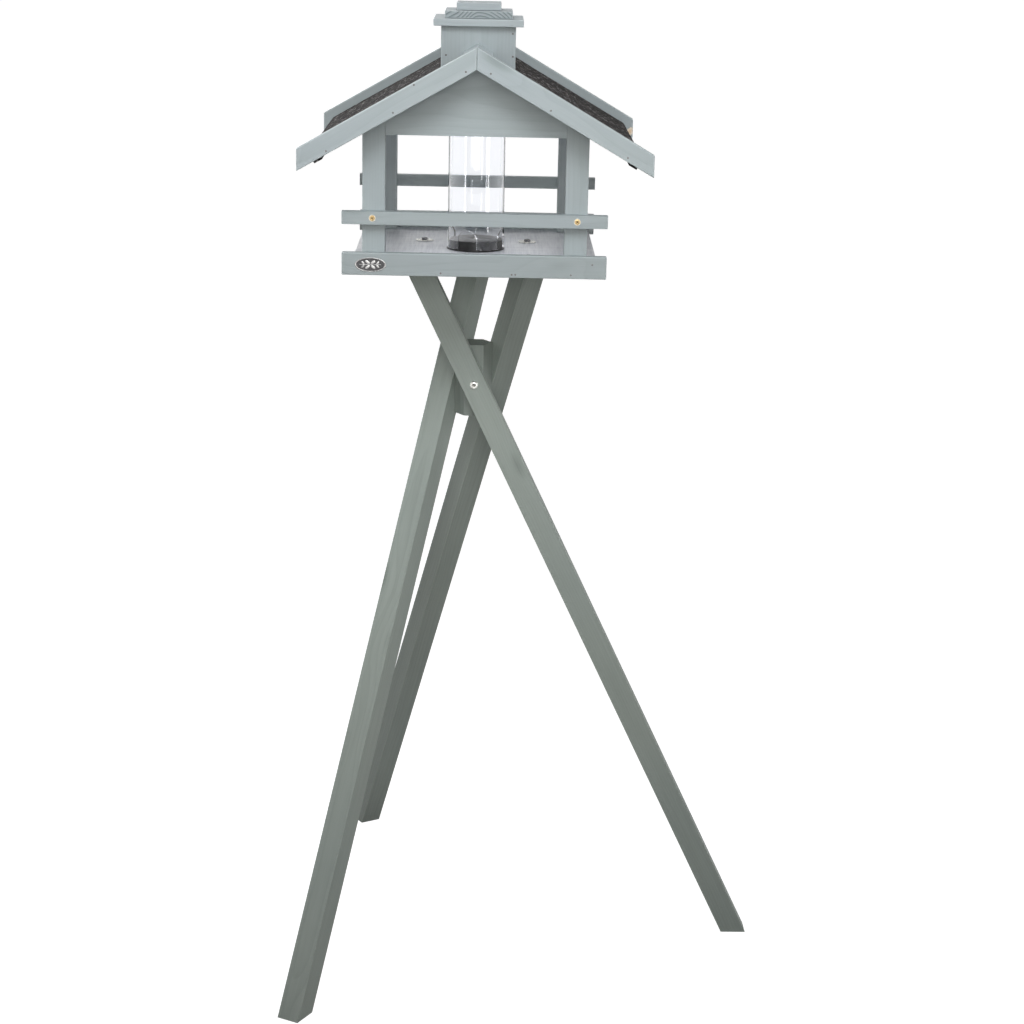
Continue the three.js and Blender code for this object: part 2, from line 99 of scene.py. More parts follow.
class Value:
    """A shader socket that numbers and other sockets can be reckoned with."""

    def __init__(self, graph: "Graph", socket: bpy.types.NodeSocket) -> None:
        """Keeps the socket and the graph that its maths nodes go to."""
        self.graph = graph
        self.socket = socket

    def _maths(self, operation: str, *operands: "Value | float", clamp: bool = False) -> "Value":
        """Adds one Math node."""
        inputs = dict(enumerate(operands))
        return self.graph.node("ShaderNodeMath", {"operation": operation, "use_clamp": clamp}, inputs)

    def __add__(self, other: "Value | float") -> "Value":
        """Adds."""
        return self._maths("ADD", self, other)

    def __radd__(self, other: float) -> "Value":
        """Adds to a number."""
        return self._maths("ADD", other, self)

    def __sub__(self, other: "Value | float") -> "Value":
        """Subtracts."""
        return self._maths("SUBTRACT", self, other)

    def __rsub__(self, other: float) -> "Value":
        """Subtracts from a number."""
        return self._maths("SUBTRACT", other, self)

    def __mul__(self, other: "Value | float") -> "Value":
        """Multiplies."""
        return self._maths("MULTIPLY", self, other)

    def __rmul__(self, other: float) -> "Value":
        """Multiplies a number."""
        return self._maths("MULTIPLY", other, self)

    def __truediv__(self, other: "Value | float") -> "Value":
        """Divides."""
        return self._maths("DIVIDE", self, other)

    def __pow__(self, other: float) -> "Value":
        """Raises to a power."""
        return self._maths("POWER", self, other)

    def fraction(self) -> "Value":
        """Gives the part after the decimal point."""
        return self._maths("FRACT", self)

    def clamped(self) -> "Value":
        """Keeps the value between 0 and 1."""
        return self._maths("ADD", self, 0.0, clamp=True)

    def step(self, low: float, high: float) -> "Value":
        """Rises smoothly from 0 to 1, or falls where low is the greater.

        Args:
            low: the value that gives 0.
            high: the value that gives 1.

        Returns:
            The smoothed step.
        """
        settings = {"interpolation_type": "SMOOTHSTEP"}
        inputs = {0: self, 1: low, 2: high, 3: 0.0, 4: 1.0}
        if low > high:
            inputs = {0: self, 1: high, 2: low, 3: 1.0, 4: 0.0}
        return self.graph.node("ShaderNodeMapRange", settings, inputs)


class Graph:
    """The node tree of one new material or world."""

    def __init__(self, tree: bpy.types.NodeTree) -> None:
        """Empties the tree."""
        self.tree = tree
        tree.nodes.clear()

    def node(
        self,
        kind: str,
        settings: dict[str, object] | None = None,
        inputs: dict[int | str, object] | None = None,
        out: int | str = 0,
    ) -> Value:
        """Adds a node.

        Args:
            kind: the node's type.
            settings: the node's own properties; "stops" fills a colour ramp.
            inputs: values or links by socket name or number.
            out: the output that is wanted.

        Returns:
            That output, or the node's first input where it has no output.
        """
        made = self.tree.nodes.new(kind)
        for key, setting in (settings or {}).items():
            if key == "stops":
                self._stops(made.color_ramp, setting)
            else:
                setattr(made, key, setting)
        for key, given in (inputs or {}).items():
            if isinstance(given, Value):
                self.tree.links.new(given.socket, made.inputs[key])
            else:
                made.inputs[key].default_value = given
        return Value(self, made.outputs[out] if made.outputs else made.inputs[0])

    @staticmethod
    def _stops(ramp: bpy.types.ColorRamp, stops: list[tuple[float, tuple[float, ...]]]) -> None:
        """Fills a colour ramp.

        Args:
            ramp: the ramp.
            stops: each stop's position and colour.
        """
        while len(ramp.elements) > 1:
            ramp.elements.remove(ramp.elements[-1])
        ramp.elements[0].position, ramp.elements[0].color = stops[0][0], (*stops[0][1], 1.0)
        for position, colour in stops[1:]:
            ramp.elements.new(position).color = (*colour, 1.0)

    def mix(self, factor: Value | float, first: object, second: object, blend: str = "MIX") -> Value:
        """Mixes two colours.

        Args:
            factor: 0 for the first, 1 for the second.
            first: a colour or a socket.
            second: a colour or a socket.
            blend: the way of mixing.

        Returns:
            The mixed colour.
        """
        colours = [(*c, 1.0) if isinstance(c, tuple) else c for c in (first, second)]
        settings = {"data_type": "RGBA", "blend_type": blend, "clamp_factor": True}
        return self.node("ShaderNodeMix", settings, {0: factor, 6: colours[0], 7: colours[1]}, 2)

    def vector(self, operation: str, *operands: object, out: int | str = 0) -> Value:
        """Adds a Vector Math node."""
        return self.node("ShaderNodeVectorMath", {"operation": operation}, dict(enumerate(operands)), out)

    def noise(self, place: Value, scale: float, detail: float = 2.0, rough: float = 0.5) -> Value:
        """Gives smooth noise about 0.5 at a place."""
        inputs = {"Vector": place, "Scale": scale, "Detail": detail, "Roughness": rough}
        return self.node("ShaderNodeTexNoise", {}, inputs)

    def stretched(
        self, place: Value, waves: tuple[float, float, float], detail: float = 2.0, rough: float = 0.5
    ) -> Value:
        """Gives smooth noise about 0.5 that is finer one way than another.

        Args:
            place: where it is read.
            waves: how many waves it has to the metre, each way.
            detail: how many finer layers it holds.
            rough: how strong those layers are.

        Returns:
            The noise.
        """
        return self.noise(self.vector("MULTIPLY", place, waves), 1.0, detail, rough)

    def cells(self, place: Value, scale: float, out: str = "Distance") -> Value:
        """Divides space into cells and gives the distance to a cell's middle, or its own colour."""
        inputs = {"Vector": place, "Scale": scale, "Randomness": 1.0}
        return self.node("ShaderNodeTexVoronoi", {}, inputs, out)

    def place(self) -> Value:
        """Gives the place on the piece, in metres."""
        return self.node("ShaderNodeTexCoord", {}, {}, "Object")

    def channel(self, colour: Value, number: int) -> Value:
        """Gives one channel of a colour."""
        return self.node("ShaderNodeSeparateColor", {}, {0: colour}, number)

    def attribute(self, name: str, out: str = "Fac") -> Value:
        """Reads a value that is stored on the mesh."""
        return self.node("ShaderNodeAttribute", {"attribute_name": name}, {}, out)

    def bump(self, height: Value, distance: float, strength: float) -> Value:
        """Turns a height into a normal."""
        inputs = {"Height": height, "Distance": distance, "Strength": strength}
        return self.node("ShaderNodeBump", {}, inputs)

    def surface(self, **sockets: object) -> Value:
        """Adds a Principled shader; an underscore in a name stands for a space."""
        inputs = {name.replace("_", " "): given for name, given in sockets.items()}
        return self.node("ShaderNodeBsdfPrincipled", {}, inputs)

    def finish(self, shader: Value, kind: str = "ShaderNodeOutputMaterial") -> None:
        """Links the shader to the output."""
        self.node(kind, {}, {"Surface": shader})


Colour = tuple[float, float, float]
Stretch = tuple[float, float, float]


def new_graph(name: str) -> tuple[bpy.types.Material, Graph]:
    """Makes an empty material and its graph.

    Args:
        name: the material's name.

    Returns:
        The material and its graph.
    """
    material = bpy.data.materials.new(name)
    material.use_nodes = True
    return material, Graph(material.node_tree)


# ---------------------------------------------------------------- finishes


@dataclass(frozen=True)
class BareSpot:
    """A place where the stain is chipped off, showing raw pine.

    Attributes:
        place: its middle, in the frame.
        long: half its length, in metres.
        wide: half its width, in metres.
        slope: the way it is long.
        raw: the colour of the raw wood.
        core: the colour of its darker heart.
    """

    place: tuple[float, float, float]
    long: float
    wide: float
    slope: tuple[float, float, float]
    raw: Colour = (0.80, 0.60, 0.42)
    core: Colour = (0.62, 0.26, 0.06)


@dataclass(frozen=True)
class StainedWood:
    """Softwood under a thin grey stain.

    Attributes:
        name: the material's name.
        slot: what the piece is made of; not used.
        pale: the early wood.
        deep: the late wood.
        cool: the bluer drift of the early wood.
        ring_gap: between the year rings, in metres.
        ring_depth: how dark the rings are along the board.
        fibre_depth: how dark the fibres are.
        end_depth: how dark the rings are on an end.
        roughness: of the stain.
        spots: where the stain is chipped off.
        relief: how deep the fibres lie, in metres.
        specular: how strongly the stain shines.
    """

    name: str
    slot: str
    pale: Colour
    deep: Colour
    cool: Colour
    ring_gap: float = 0.0032
    ring_depth: float = 0.10
    fibre_depth: float = 0.10
    end_depth: float = 0.62
    roughness: float = 0.56
    spots: tuple[BareSpot, ...] = ()
    relief: float = 0.00022
    specular: float = 0.36
    wander_waves: Stretch = (3.0, 14.0, 14.0)
    swirl_waves: Stretch = (9.0, 60.0, 60.0)
    knot_waves: Stretch = (5.0, 16.0, 16.0)
    fibre_waves: Stretch = (16.0, 620.0, 620.0)
    streak_waves: Stretch = (5.0, 130.0, 130.0)
    cloud_waves: Stretch = (8.0, 22.0, 22.0)
    drift_waves: Stretch = (4.0, 9.0, 9.0)
    tooth_waves: float = 1500.0

    def material(self) -> bpy.types.Material:
        """Builds the material from the board's own grain.

        Returns:
            The material.
        """
        material, g = new_graph(self.name)
        grain = g.attribute("grain", "Vector")
        end = g.attribute("end_grain")
        eased_edge = g.attribute("eased")
        tone = g.attribute("tone")
        place = g.place()

        wander = g.stretched(grain, self.wander_waves, 2.0) - 0.5
        swirl = g.stretched(grain, self.swirl_waves, 1.0) - 0.5
        cross = g.vector("MULTIPLY", grain, (0.0, 1.0, 1.0))
        radius = g.vector("LENGTH", cross, out="Value")

        knots = g.cells(g.vector("MULTIPLY", grain, self.knot_waves), 1.0)
        knot = knots.step(0.16, 0.03)
        halo = knots.step(0.42, 0.05)
        ring = ((radius + wander * 0.016 + swirl * 0.0016 + halo * 0.006) / self.ring_gap).fraction()
        late = (ring**3.0) * (1.0 - ring.step(0.93, 1.0))

        fibre = g.stretched(grain, self.fibre_waves, 3.0, 0.6) - 0.5
        streak = g.stretched(grain, self.streak_waves, 2.0) - 0.5
        cloud = g.stretched(grain, self.cloud_waves, 2.0) - 0.5
        tooth = g.noise(place, self.tooth_waves, 1.0) - 0.5

        side = 1.0 - end
        rings = late * (self.ring_depth * side + self.end_depth * end)
        shade = rings + fibre * (self.fibre_depth * 2.0)
        shade = shade + streak * (self.fibre_depth * 1.3) + cloud * 0.22 + knot * 0.42 * side
        shade = (shade + 0.30 + end * 0.12).clamped()
        colour = g.mix(shade, self.pale, self.deep)
        drift = (g.stretched(grain, self.drift_waves, 1.0) * 1.6 - 0.3).clamped()
        colour = g.mix(drift * 0.55, colour, g.mix(shade, self.cool, self.deep))
        # painted highlight and wear: the eased edges are painted paler, partly stain rubbed thin, partly
        # the highlight where the rounding catches the light
        colour = g.mix(eased_edge * 0.30, colour, tuple(min(1.0, c * 1.35) for c in self.pale))
        tones = g.node("ShaderNodeCombineColor", {}, {0: tone, 1: tone, 2: tone})
        colour = g.mix(1.0, colour, tones, "MULTIPLY")
        bare = None
        for spot in self.spots:
            mask, heart = self._chip(g, place, spot)
            raw = g.mix(heart, spot.raw, spot.core)
            lined = g.mix(fibre + 0.3, raw, tuple(0.72 * c for c in spot.raw))
            colour = g.mix(mask, colour, lined)
            bare = mask if bare is None else bare + mask

        rough = (self.roughness + fibre * 0.20 + late * 0.08 + end * 0.16 - eased_edge * 0.05).clamped()
        height = fibre * 0.55 + late * 0.35 + tooth * 0.22 + streak * 0.4 - knot * 0.4
        if bare is not None:
            height = height - bare * 2.4
        normal = g.bump(height, self.relief, 0.85)
        g.finish(
            g.surface(Base_Color=colour, Roughness=rough, Normal=normal, Specular_IOR_Level=self.specular)
        )
        return material

    @staticmethod
    def _chip(g: Graph, place: Value, spot: BareSpot) -> tuple[Value, Value]:
        """Gives the mask of one chip and of its darker heart.

        Args:
            g: the wood's graph.
            place: the place on the piece.
            spot: the chip.

        Returns:
            The two masks, each from 0 to 1.
        """
        away = g.vector("SUBTRACT", place, spot.place)
        along = g.vector("DOT_PRODUCT", away, spot.slope, out="Value")
        total = g.vector("LENGTH", away, out="Value")
        rim = g.noise(place, 420.0, 2.0) - 0.5
        across = (total * total - along * along).clamped() ** 0.5
        far = ((along / spot.long) ** 2.0 + (across / spot.wide) ** 2.0) ** 0.5 + rim * 0.55
        return far.step(1.05, 0.85), far.step(0.62, 0.30)


@dataclass(frozen=True)
class Plywood:
    """Thin plywood under the same stain, with its plies along the edges.

    Attributes:
        name: the material's name.
        slot: what the piece is made of; not used.
        pale: the stain where it is thin.
        deep: the stain where it is thick.
        ply: the thickness of one layer, in metres.
        relief: how deep the fibres lie, in metres.
        specular: how strongly the stain shines.
    """

    name: str = "stained_plywood"
    slot: str = "plywood"
    pale: Colour = (0.96, 0.97, 1.0)
    deep: Colour = (0.50, 0.51, 0.575)
    ply: float = 0.0015
    relief: float = 0.0002
    specular: float = 0.42
    smear_waves: Stretch = (9.0, 26.0, 26.0)
    band_waves: Stretch = (14.0, 300.0, 300.0)
    fibre_waves: Stretch = (30.0, 1100.0, 1100.0)
    blot_waves: Stretch = (60.0, 11.0, 11.0)
    tooth_waves: float = 1300.0

    def material(self) -> bpy.types.Material:
        """Builds the material.

        Returns:
            The material.
        """
        material, g = new_graph(self.name)
        grain = g.attribute("grain", "Vector")
        end = g.attribute("end_grain")
        place = g.place()
        smear = g.stretched(grain, self.smear_waves, 3.0, 0.6) - 0.5
        band = g.stretched(grain, self.band_waves, 3.0, 0.65) - 0.5
        fibre = g.stretched(grain, self.fibre_waves, 2.0, 0.6) - 0.5
        blot = g.stretched(grain, self.blot_waves, 3.0, 0.62) - 0.5
        shade = smear * 0.75 + band * 0.75 + fibre * 0.5 + blot * 0.7
        colour = g.mix((shade + 0.36).clamped(), self.pale, self.deep)
        depth = g.node("ShaderNodeSeparateXYZ", {}, {0: grain}, 2)
        layer = (depth / self.ply + 0.5).fraction().step(0.42, 0.58)
        edge = g.mix(layer, (0.42, 0.43, 0.43), (0.24, 0.24, 0.25))
        colour = g.mix(end, colour, g.mix(band * 0.8 + 0.3, edge, self.deep))
        rough = (0.46 + band * 0.3 + smear * 0.2).clamped()
        tooth = g.noise(place, self.tooth_waves, 1.0) - 0.5
        height = band * 0.6 + fibre * 0.6 + tooth * 0.2
        normal = g.bump(height, self.relief, 0.8)
        g.finish(
            g.surface(Base_Color=colour, Roughness=rough, Normal=normal, Specular_IOR_Level=self.specular)
        )
        return material


@dataclass(frozen=True)
class RoofFelt:
    """Bitumen felt with a pressed mineral surface.

    Attributes:
        name: the material's name.
        slot: what the piece is made of; not used.
        granule: the width of a granule, in metres.
        fines: how many fine granules lie across a large one.
        clumps: how many clumps lie across one, which is less than one.
        relief: how high the granules stand, in metres.
        specular: how strongly they shine.
    """

    name: str = "mineral_felt"
    slot: str = "roof_felt"
    granule: float = 0.0034
    fines: float = 2.2
    clumps: float = 0.42
    relief: float = 0.0007
    specular: float = 0.06

    def material(self) -> bpy.types.Material:
        """Builds the material.

        Returns:
            The material.
        """
        material, g = new_graph(self.name)
        place = g.place()
        hue = g.cells(place, 1 / self.granule, "Color")
        round_top = g.cells(place, 1 / self.granule)
        fine = g.cells(place, self.fines / self.granule)
        pick, warm = g.channel(hue, 0), g.channel(hue, 1)
        stops = [
            (0.0, (0.010, 0.010, 0.010)),
            (0.45, (0.016, 0.015, 0.015)),
            (0.68, (0.050, 0.046, 0.046)),
            (0.86, (0.15, 0.140, 0.138)),
            (0.96, (0.62, 0.59, 0.58)),
        ]
        colour = g.node("ShaderNodeValToRGB", {"stops": stops}, {0: pick})
        colour = g.mix(warm.step(0.75, 1.0) * 0.5, colour, (0.16, 0.105, 0.085))
        patch = g.noise(place, 34.0, 3.0) - 0.5
        heap = g.channel(g.cells(place, self.clumps / self.granule, "Color"), 0)
        colour = g.mix(heap.step(0.80, 0.97) * 0.45, colour, (0.20, 0.185, 0.18))
        colour = g.mix(heap.step(0.55, 0.12) * 0.75, colour, (0.010, 0.0095, 0.0095))
        colour = g.mix((patch * 0.9 + 0.12).clamped(), colour, (0.030, 0.028, 0.028))
        colour = g.mix(round_top.step(0.35, 0.75) * 0.75, colour, (0.012, 0.011, 0.011))
        rough = (0.78 + pick * 0.2).clamped()
        height = (1.0 - round_top) + (1.0 - fine) * 0.35 + patch * 0.6
        normal = g.bump(height, self.relief, 0.9)
        g.finish(
            g.surface(Base_Color=colour, Roughness=rough, Normal=normal, Specular_IOR_Level=self.specular)
        )
        return material


@dataclass(frozen=True)
class ClearTube:
    """Clear polished acrylic that lets lamps through.

    Attributes:
        name: the material's name.
        slot: what the piece is made of; not used.
        tint: the colour that it gives to what is behind it.
        index: how strongly it bends light.
        drag_waves: the fine lines that drawing the tube left.
        sway_waves: the slow swell of its wall.
        relief: how high those stand, in metres.
    """

    name: str = "polished_acrylic"
    slot: str = "clear_acrylic"
    tint: Colour = (0.955, 0.964, 0.984)
    index: float = 1.49
    drag_waves: Stretch = (150.0, 150.0, 3.0)
    sway_waves: Stretch = (70.0, 70.0, 4.0)
    relief: float = 0.0008

    def material(self) -> bpy.types.Material:
        """Builds the material.

        Returns:
            The material.
        """
        material, g = new_graph(self.name)
        place = g.place()
        drag = g.stretched(place, self.drag_waves, 2.0)
        sway = g.stretched(place, self.sway_waves, 1.0)
        rough = (drag.step(0.70, 0.95) * 0.02).clamped()
        normal = g.bump(sway + drag * 0.08, self.relief, 0.07)
        tint = (*self.tint, 1.0)
        glass = g.surface(
            Base_Color=tint, Roughness=rough, Transmission_Weight=1.0, IOR=self.index, Normal=normal
        )
        lamp = g.node("ShaderNodeLightPath", {}, {}, "Is Shadow Ray")
        clear = g.node("ShaderNodeBsdfTransparent", {}, {"Color": (0.93, 0.94, 0.95, 1.0)})
        g.finish(g.node("ShaderNodeMixShader", {}, {0: lamp, 1: glass, 2: clear}))
        return material


@dataclass(frozen=True)
class MouldedPlastic:
    """Black moulded plastic with a fine spark-eroded face."""

    name: str = "black_moulding"
    slot: str = "black_plastic"
    base: Colour = (0.014, 0.0135, 0.014)
    relief: float = 0.00012
    specular: float = 0.22

    def material(self) -> bpy.types.Material:
        """Builds the material.

        Returns:
            The material.
        """
        material, g = new_graph(self.name)
        place = g.place()
        grit = g.noise(place, 2600.0, 2.0)
        dust = g.noise(place, 120.0, 4.0, 0.7)
        colour = g.mix(dust.step(0.5, 0.85) * 0.35, self.base, (0.075, 0.073, 0.075))
        colour = g.mix(g.attribute("eased") * 0.35, colour, (0.07, 0.07, 0.073))
        rough = (0.36 + (grit - 0.5) * 0.25 + dust.step(0.45, 0.8) * 0.2).clamped()
        normal = g.bump(grit, self.relief, 0.6)
        g.finish(
            g.surface(Base_Color=colour, Roughness=rough, Normal=normal, Specular_IOR_Level=self.specular)
        )
        return material


@dataclass(frozen=True)
class Metal:
    """Plated or bare metal with fine scratches, a little tarnish and painted shade down in its recesses,
    and the pale fibres beside it.

    Attributes:
        name: the material's name.
        slot: what the piece is made of; not used.
        bright: the clean surface.
        dull: the tarnished surface.
        roughness: of the clean surface.
        metallic: 1 for metal, 0 for wood fibres, and between them for paint and rust.
        relief: how deep the scratches lie, in metres.
        scratch_waves: how fine they are, each way.
    """

    name: str
    slot: str
    bright: Colour
    dull: Colour
    roughness: float
    metallic: float = 1.0
    relief: float = 0.00006
    scratch_waves: Stretch = (260.0, 2600.0, 900.0)

    def material(self) -> bpy.types.Material:
        """Builds the material.

        Returns:
            The material.
        """
        material, g = new_graph(self.name)
        place = g.place()
        scratch = g.stretched(place, self.scratch_waves, 2.0)
        tarnish = g.noise(place, 420.0, 3.0, 0.65)
        colour = g.mix(tarnish.step(0.42, 0.74), self.bright, self.dull)
        # painted shade: faces marked as lying down in a recess are darkened to a third of the tarnished
        # colour
        colour = g.mix(g.attribute("recess") * 0.9, colour, tuple(0.30 * c for c in self.dull))
        rough = (self.roughness + (scratch - 0.5) * 0.22 + tarnish.step(0.5, 0.8) * 0.14).clamped()
        normal = g.bump(scratch * 0.7 + tarnish * 0.5, self.relief, 0.6)
        g.finish(g.surface(Base_Color=colour, Metallic=self.metallic, Roughness=rough, Normal=normal))
        return material


LEG_CHIP = BareSpot(tuple(house(-224.8, -293.0, 26.9 - 963.0)), 0.0070, 0.0036, (0.214, 0.382, 0.899))
BARGE_CHIP = BareSpot(
    tuple(house(212.6, 223.6, 140.0)), 0.0085, 0.0048, (0.54, 0.0, 0.84),
    raw=(0.93, 0.80, 0.66), core=(0.90, 0.66, 0.42),
)
BUILT: dict[str, bpy.types.Material] = {}


class Finish(Enum):
    """The finishes of this feeder; each is built once."""

    HOUSE = StainedWood(
        "house_stain", "house_wood", (0.470, 0.520, 0.525), (0.225, 0.262, 0.258), (0.450, 0.500, 0.545),
        spots=(BARGE_CHIP,),
    )
    LEG = StainedWood(
        "leg_stain", "leg_wood", (0.420, 0.460, 0.420), (0.165, 0.196, 0.170), (0.390, 0.440, 0.425),
        ring_gap=0.0038, ring_depth=0.13, fibre_depth=0.12, roughness=0.60, spots=(LEG_CHIP,),
    )
    COPING = StainedWood(
        "coping_stain", "house_wood", (0.520, 0.570, 0.585), (0.190, 0.222, 0.225), (0.480, 0.530, 0.575),
        ring_gap=0.0038, ring_depth=0.08, end_depth=1.25,
    )
    PLYWOOD = Plywood()
    FELT = RoofFelt()
    ACRYLIC = ClearTube()
    PLASTIC = MouldedPlastic()
    ZINC = Metal("zinc_plate", "zinc_steel", (0.60, 0.60, 0.57), (0.30, 0.29, 0.26), 0.28)
    DARK_STEEL = Metal("blued_steel", "dark_steel", (0.16, 0.16, 0.17), (0.06, 0.06, 0.065), 0.38)
    BRASS = Metal("yellow_zinc", "brass", (0.46, 0.34, 0.17), (0.14, 0.085, 0.035), 0.42)
    SPLINTERS = Metal(
        "raised_splinters", "brass", (0.95, 0.88, 0.74), (0.74, 0.62, 0.44), 0.70, metallic=0.0
    )
    NAIL = Metal("nail_steel", "dark_steel", (0.20, 0.20, 0.20), (0.10, 0.075, 0.055), 0.55, metallic=0.7)
    BADGE_FIELD = Metal(
        "badge_field", "badge_metal", (0.035, 0.034, 0.036), (0.085, 0.083, 0.085), 0.36, metallic=0.35
    )
    BADGE_METAL = Metal("badge_pewter", "badge_metal", (0.38, 0.375, 0.37), (0.17, 0.167, 0.163), 0.40)

    @property
    def material(self) -> bpy.types.Material:
        """The material, built when it is first wanted.

        Returns:
            The material.
        """
        if self.name not in BUILT:
            BUILT[self.name] = self.value.material()
        return BUILT[self.name]


# ---------------------------------------------------------------- the bench


class Bench:
    """Everyday modelling moves, each on one piece at a time."""

    @staticmethod
    def take(piece: bpy.types.Object) -> None:
        """Selects this piece alone.

        Args:
            piece: the piece.
        """
        for other in bpy.context.selected_objects:
            other.select_set(False)
        piece.hide_viewport = False
        piece.select_set(True)
        bpy.context.view_layer.objects.active = piece

    @classmethod
    def open(cls, piece: bpy.types.Object, everything: bool = True) -> None:
        """Starts edit mode, with all or nothing selected.

        Args:
            piece: the piece.
            everything: whether all of it is selected, or nothing.
        """
        cls.take(piece)
        bpy.ops.object.mode_set(mode="EDIT")
        bpy.ops.mesh.select_mode(type="FACE")
        bpy.ops.mesh.select_all(action="SELECT" if everything else "DESELECT")

    @staticmethod
    def close() -> None:
        """Ends edit mode."""
        bpy.ops.object.mode_set(mode="OBJECT")

    @classmethod
    def pick_faces(cls, piece: bpy.types.Object, wanted: Callable[[Vector, Vector], bool]) -> None:
        """Selects the faces that pass a test of centre and normal, and ends in edit mode.

        Args:
            piece: the piece.
            wanted: the test, of a face's centre and its normal.
        """
        cls.open(piece, everything=False)
        cls.close()
        for face in piece.data.polygons:
            face.select = bool(wanted(face.center, face.normal))
        bpy.ops.object.mode_set(mode="EDIT")

    @classmethod
    def modify(cls, piece: bpy.types.Object, kind: str, **settings: object) -> None:
        """Adds a modifier and applies it.

        Args:
            piece: the piece.
            kind: the modifier's type.
            settings: its own settings.
        """
        cls.take(piece)
        modifier = piece.modifiers.new(kind.lower(), kind)
        for key, setting in settings.items():
            setattr(modifier, key, setting)
        bpy.ops.object.modifier_apply(modifier=modifier.name)

    @classmethod
    def ease(cls, piece: bpy.types.Object, width: float, degrees: float, **settings: object) -> None:
        """Rounds the sharp edges.

        Args:
            piece: the piece.
            width: how far they are rounded, in metres.
            degrees: the least bend of a sharp edge.
            settings: what differs from two facets on every sharp edge.
        """
        chosen = {"segments": 2, "limit_method": "ANGLE", "angle_limit": math.radians(degrees), **settings}
        cls.modify(piece, "BEVEL", width=width, **chosen)

    @classmethod
    def smooth(cls, piece: bpy.types.Object, degrees: float) -> None:
        """Smooths all but the sharp edges."""
        cls.take(piece)
        bpy.ops.object.shade_smooth_by_angle(angle=math.radians(degrees), keep_sharp_edges=False)

    @classmethod
    def level(cls, piece: bpy.types.Object, degrees: float) -> None:
        """Smooths all but the sharp edges, and keeps the broad faces flat up to their eased edges."""
        cls.smooth(piece, degrees)
        cls.modify(piece, "WEIGHTED_NORMAL", keep_sharp=True, weight=100)

    @classmethod
    def settle(cls, piece: bpy.types.Object) -> None:
        """Puts the piece's place in its mesh."""
        cls.take(piece)
        bpy.ops.object.transform_apply(location=True, rotation=True, scale=True)

    @classmethod
    def join(cls, pieces: list[bpy.types.Object], name: str) -> bpy.types.Object:
        """Makes one piece of several.

        Args:
            pieces: the pieces; the first takes in the others.
            name: the new piece's name.

        Returns:
            The one piece.
        """
        cls.take(pieces[0])
        for piece in pieces[1:]:
            piece.select_set(True)
        bpy.ops.object.join()
        joined = bpy.context.view_layer.objects.active
        joined.name = name
        return joined

    @classmethod
    def cut(cls, piece: bpy.types.Object, cutter: bpy.types.Object) -> None:
        """Takes the cutter's shape out of the piece and throws the cutter away."""
        cls.modify(piece, "BOOLEAN", object=cutter, operation="DIFFERENCE", solver="EXACT")
        bpy.data.objects.remove(cutter)

    @classmethod
    def turned_copy(
        cls, source: bpy.types.Object, name: str, seat: Vector, out: Vector, spin: float
    ) -> bpy.types.Object:
        """Copies a part that was made standing on the origin to its seat.

        Args:
            source: the part, its outside facing +Z.
            name: the copy's name.
            seat: where its origin goes.
            out: which way its +Z goes.
            spin: how far it is turned about that way, in radians.

        Returns:
            The copy, with a mesh of its own.
        """
        mesh = source.data.copy()
        turn = out.normalized().to_track_quat("Z", "Y").to_matrix().to_4x4()
        mesh.transform(Matrix.Translation(seat) @ turn @ Matrix.Rotation(spin, 4, "Z"))
        copy = bpy.data.objects.new(name, mesh)
        bpy.context.scene.collection.objects.link(copy)
        return copy

    @staticmethod
    def dress(
        piece: bpy.types.Object, body: str, finish: Finish, replaced: tuple[str, ...] = ()
    ) -> None:
        """Gives a finished piece its material and its body, and reports it.

        Args:
            piece: the piece.
            body: the CAD body that it moves with.
            finish: its finish.
            replaced: the CAD nodes that it stands for.
        """
        piece.data.materials.clear()
        piece.data.materials.append(finish.material)
        if replaced:
            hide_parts(*replaced)
        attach(piece, body)
        faces = len(piece.data.polygons)
        LOG.info("%s: %d faces, on %s, in %s", piece.name, faces, body, finish.value.name)


def store(mesh: bpy.types.Mesh, name: str, kind: str, domain: str, values: np.ndarray) -> None:
    """Writes an attribute for the material to read.

    Args:
        mesh: the mesh.
        name: the attribute's name.
        kind: its type.
        domain: what carries it.
        values: its values, in order.
    """
    attribute = mesh.attributes.new(name, kind, domain)
    key = "vector" if kind == "FLOAT_VECTOR" else "value"
    attribute.data.foreach_set(key, np.ascontiguousarray(values, dtype=np.float32).ravel())


def fetch(
    items: bpy.types.bpy_prop_collection, key: str, width: int = 1, kind: type = float
) -> np.ndarray:
    """Reads one property of every item.

    Args:
        items: the mesh's corners, edges or faces.
        key: the property.
        width: how many numbers it holds.
        kind: of number.

    Returns:
        The numbers, in rows where there are several to an item.
    """
    values = np.zeros(len(items) * width, kind)
    items.foreach_get(key, values)
    return values.reshape(-1, width) if width > 1 else values


def take_marks(mesh: bpy.types.Mesh) -> np.ndarray:
    """Wipes the marks that easing left on the faces it made.

    Args:
        mesh: the mesh.

    Returns:
        1 for each face that easing made, and 0 for each other face.
    """
    marks = fetch(mesh.polygons, "material_index", kind=np.int32)
    mesh.polygons.foreach_set("material_index", np.zeros_like(marks))
    return (marks > 0) * 1.0


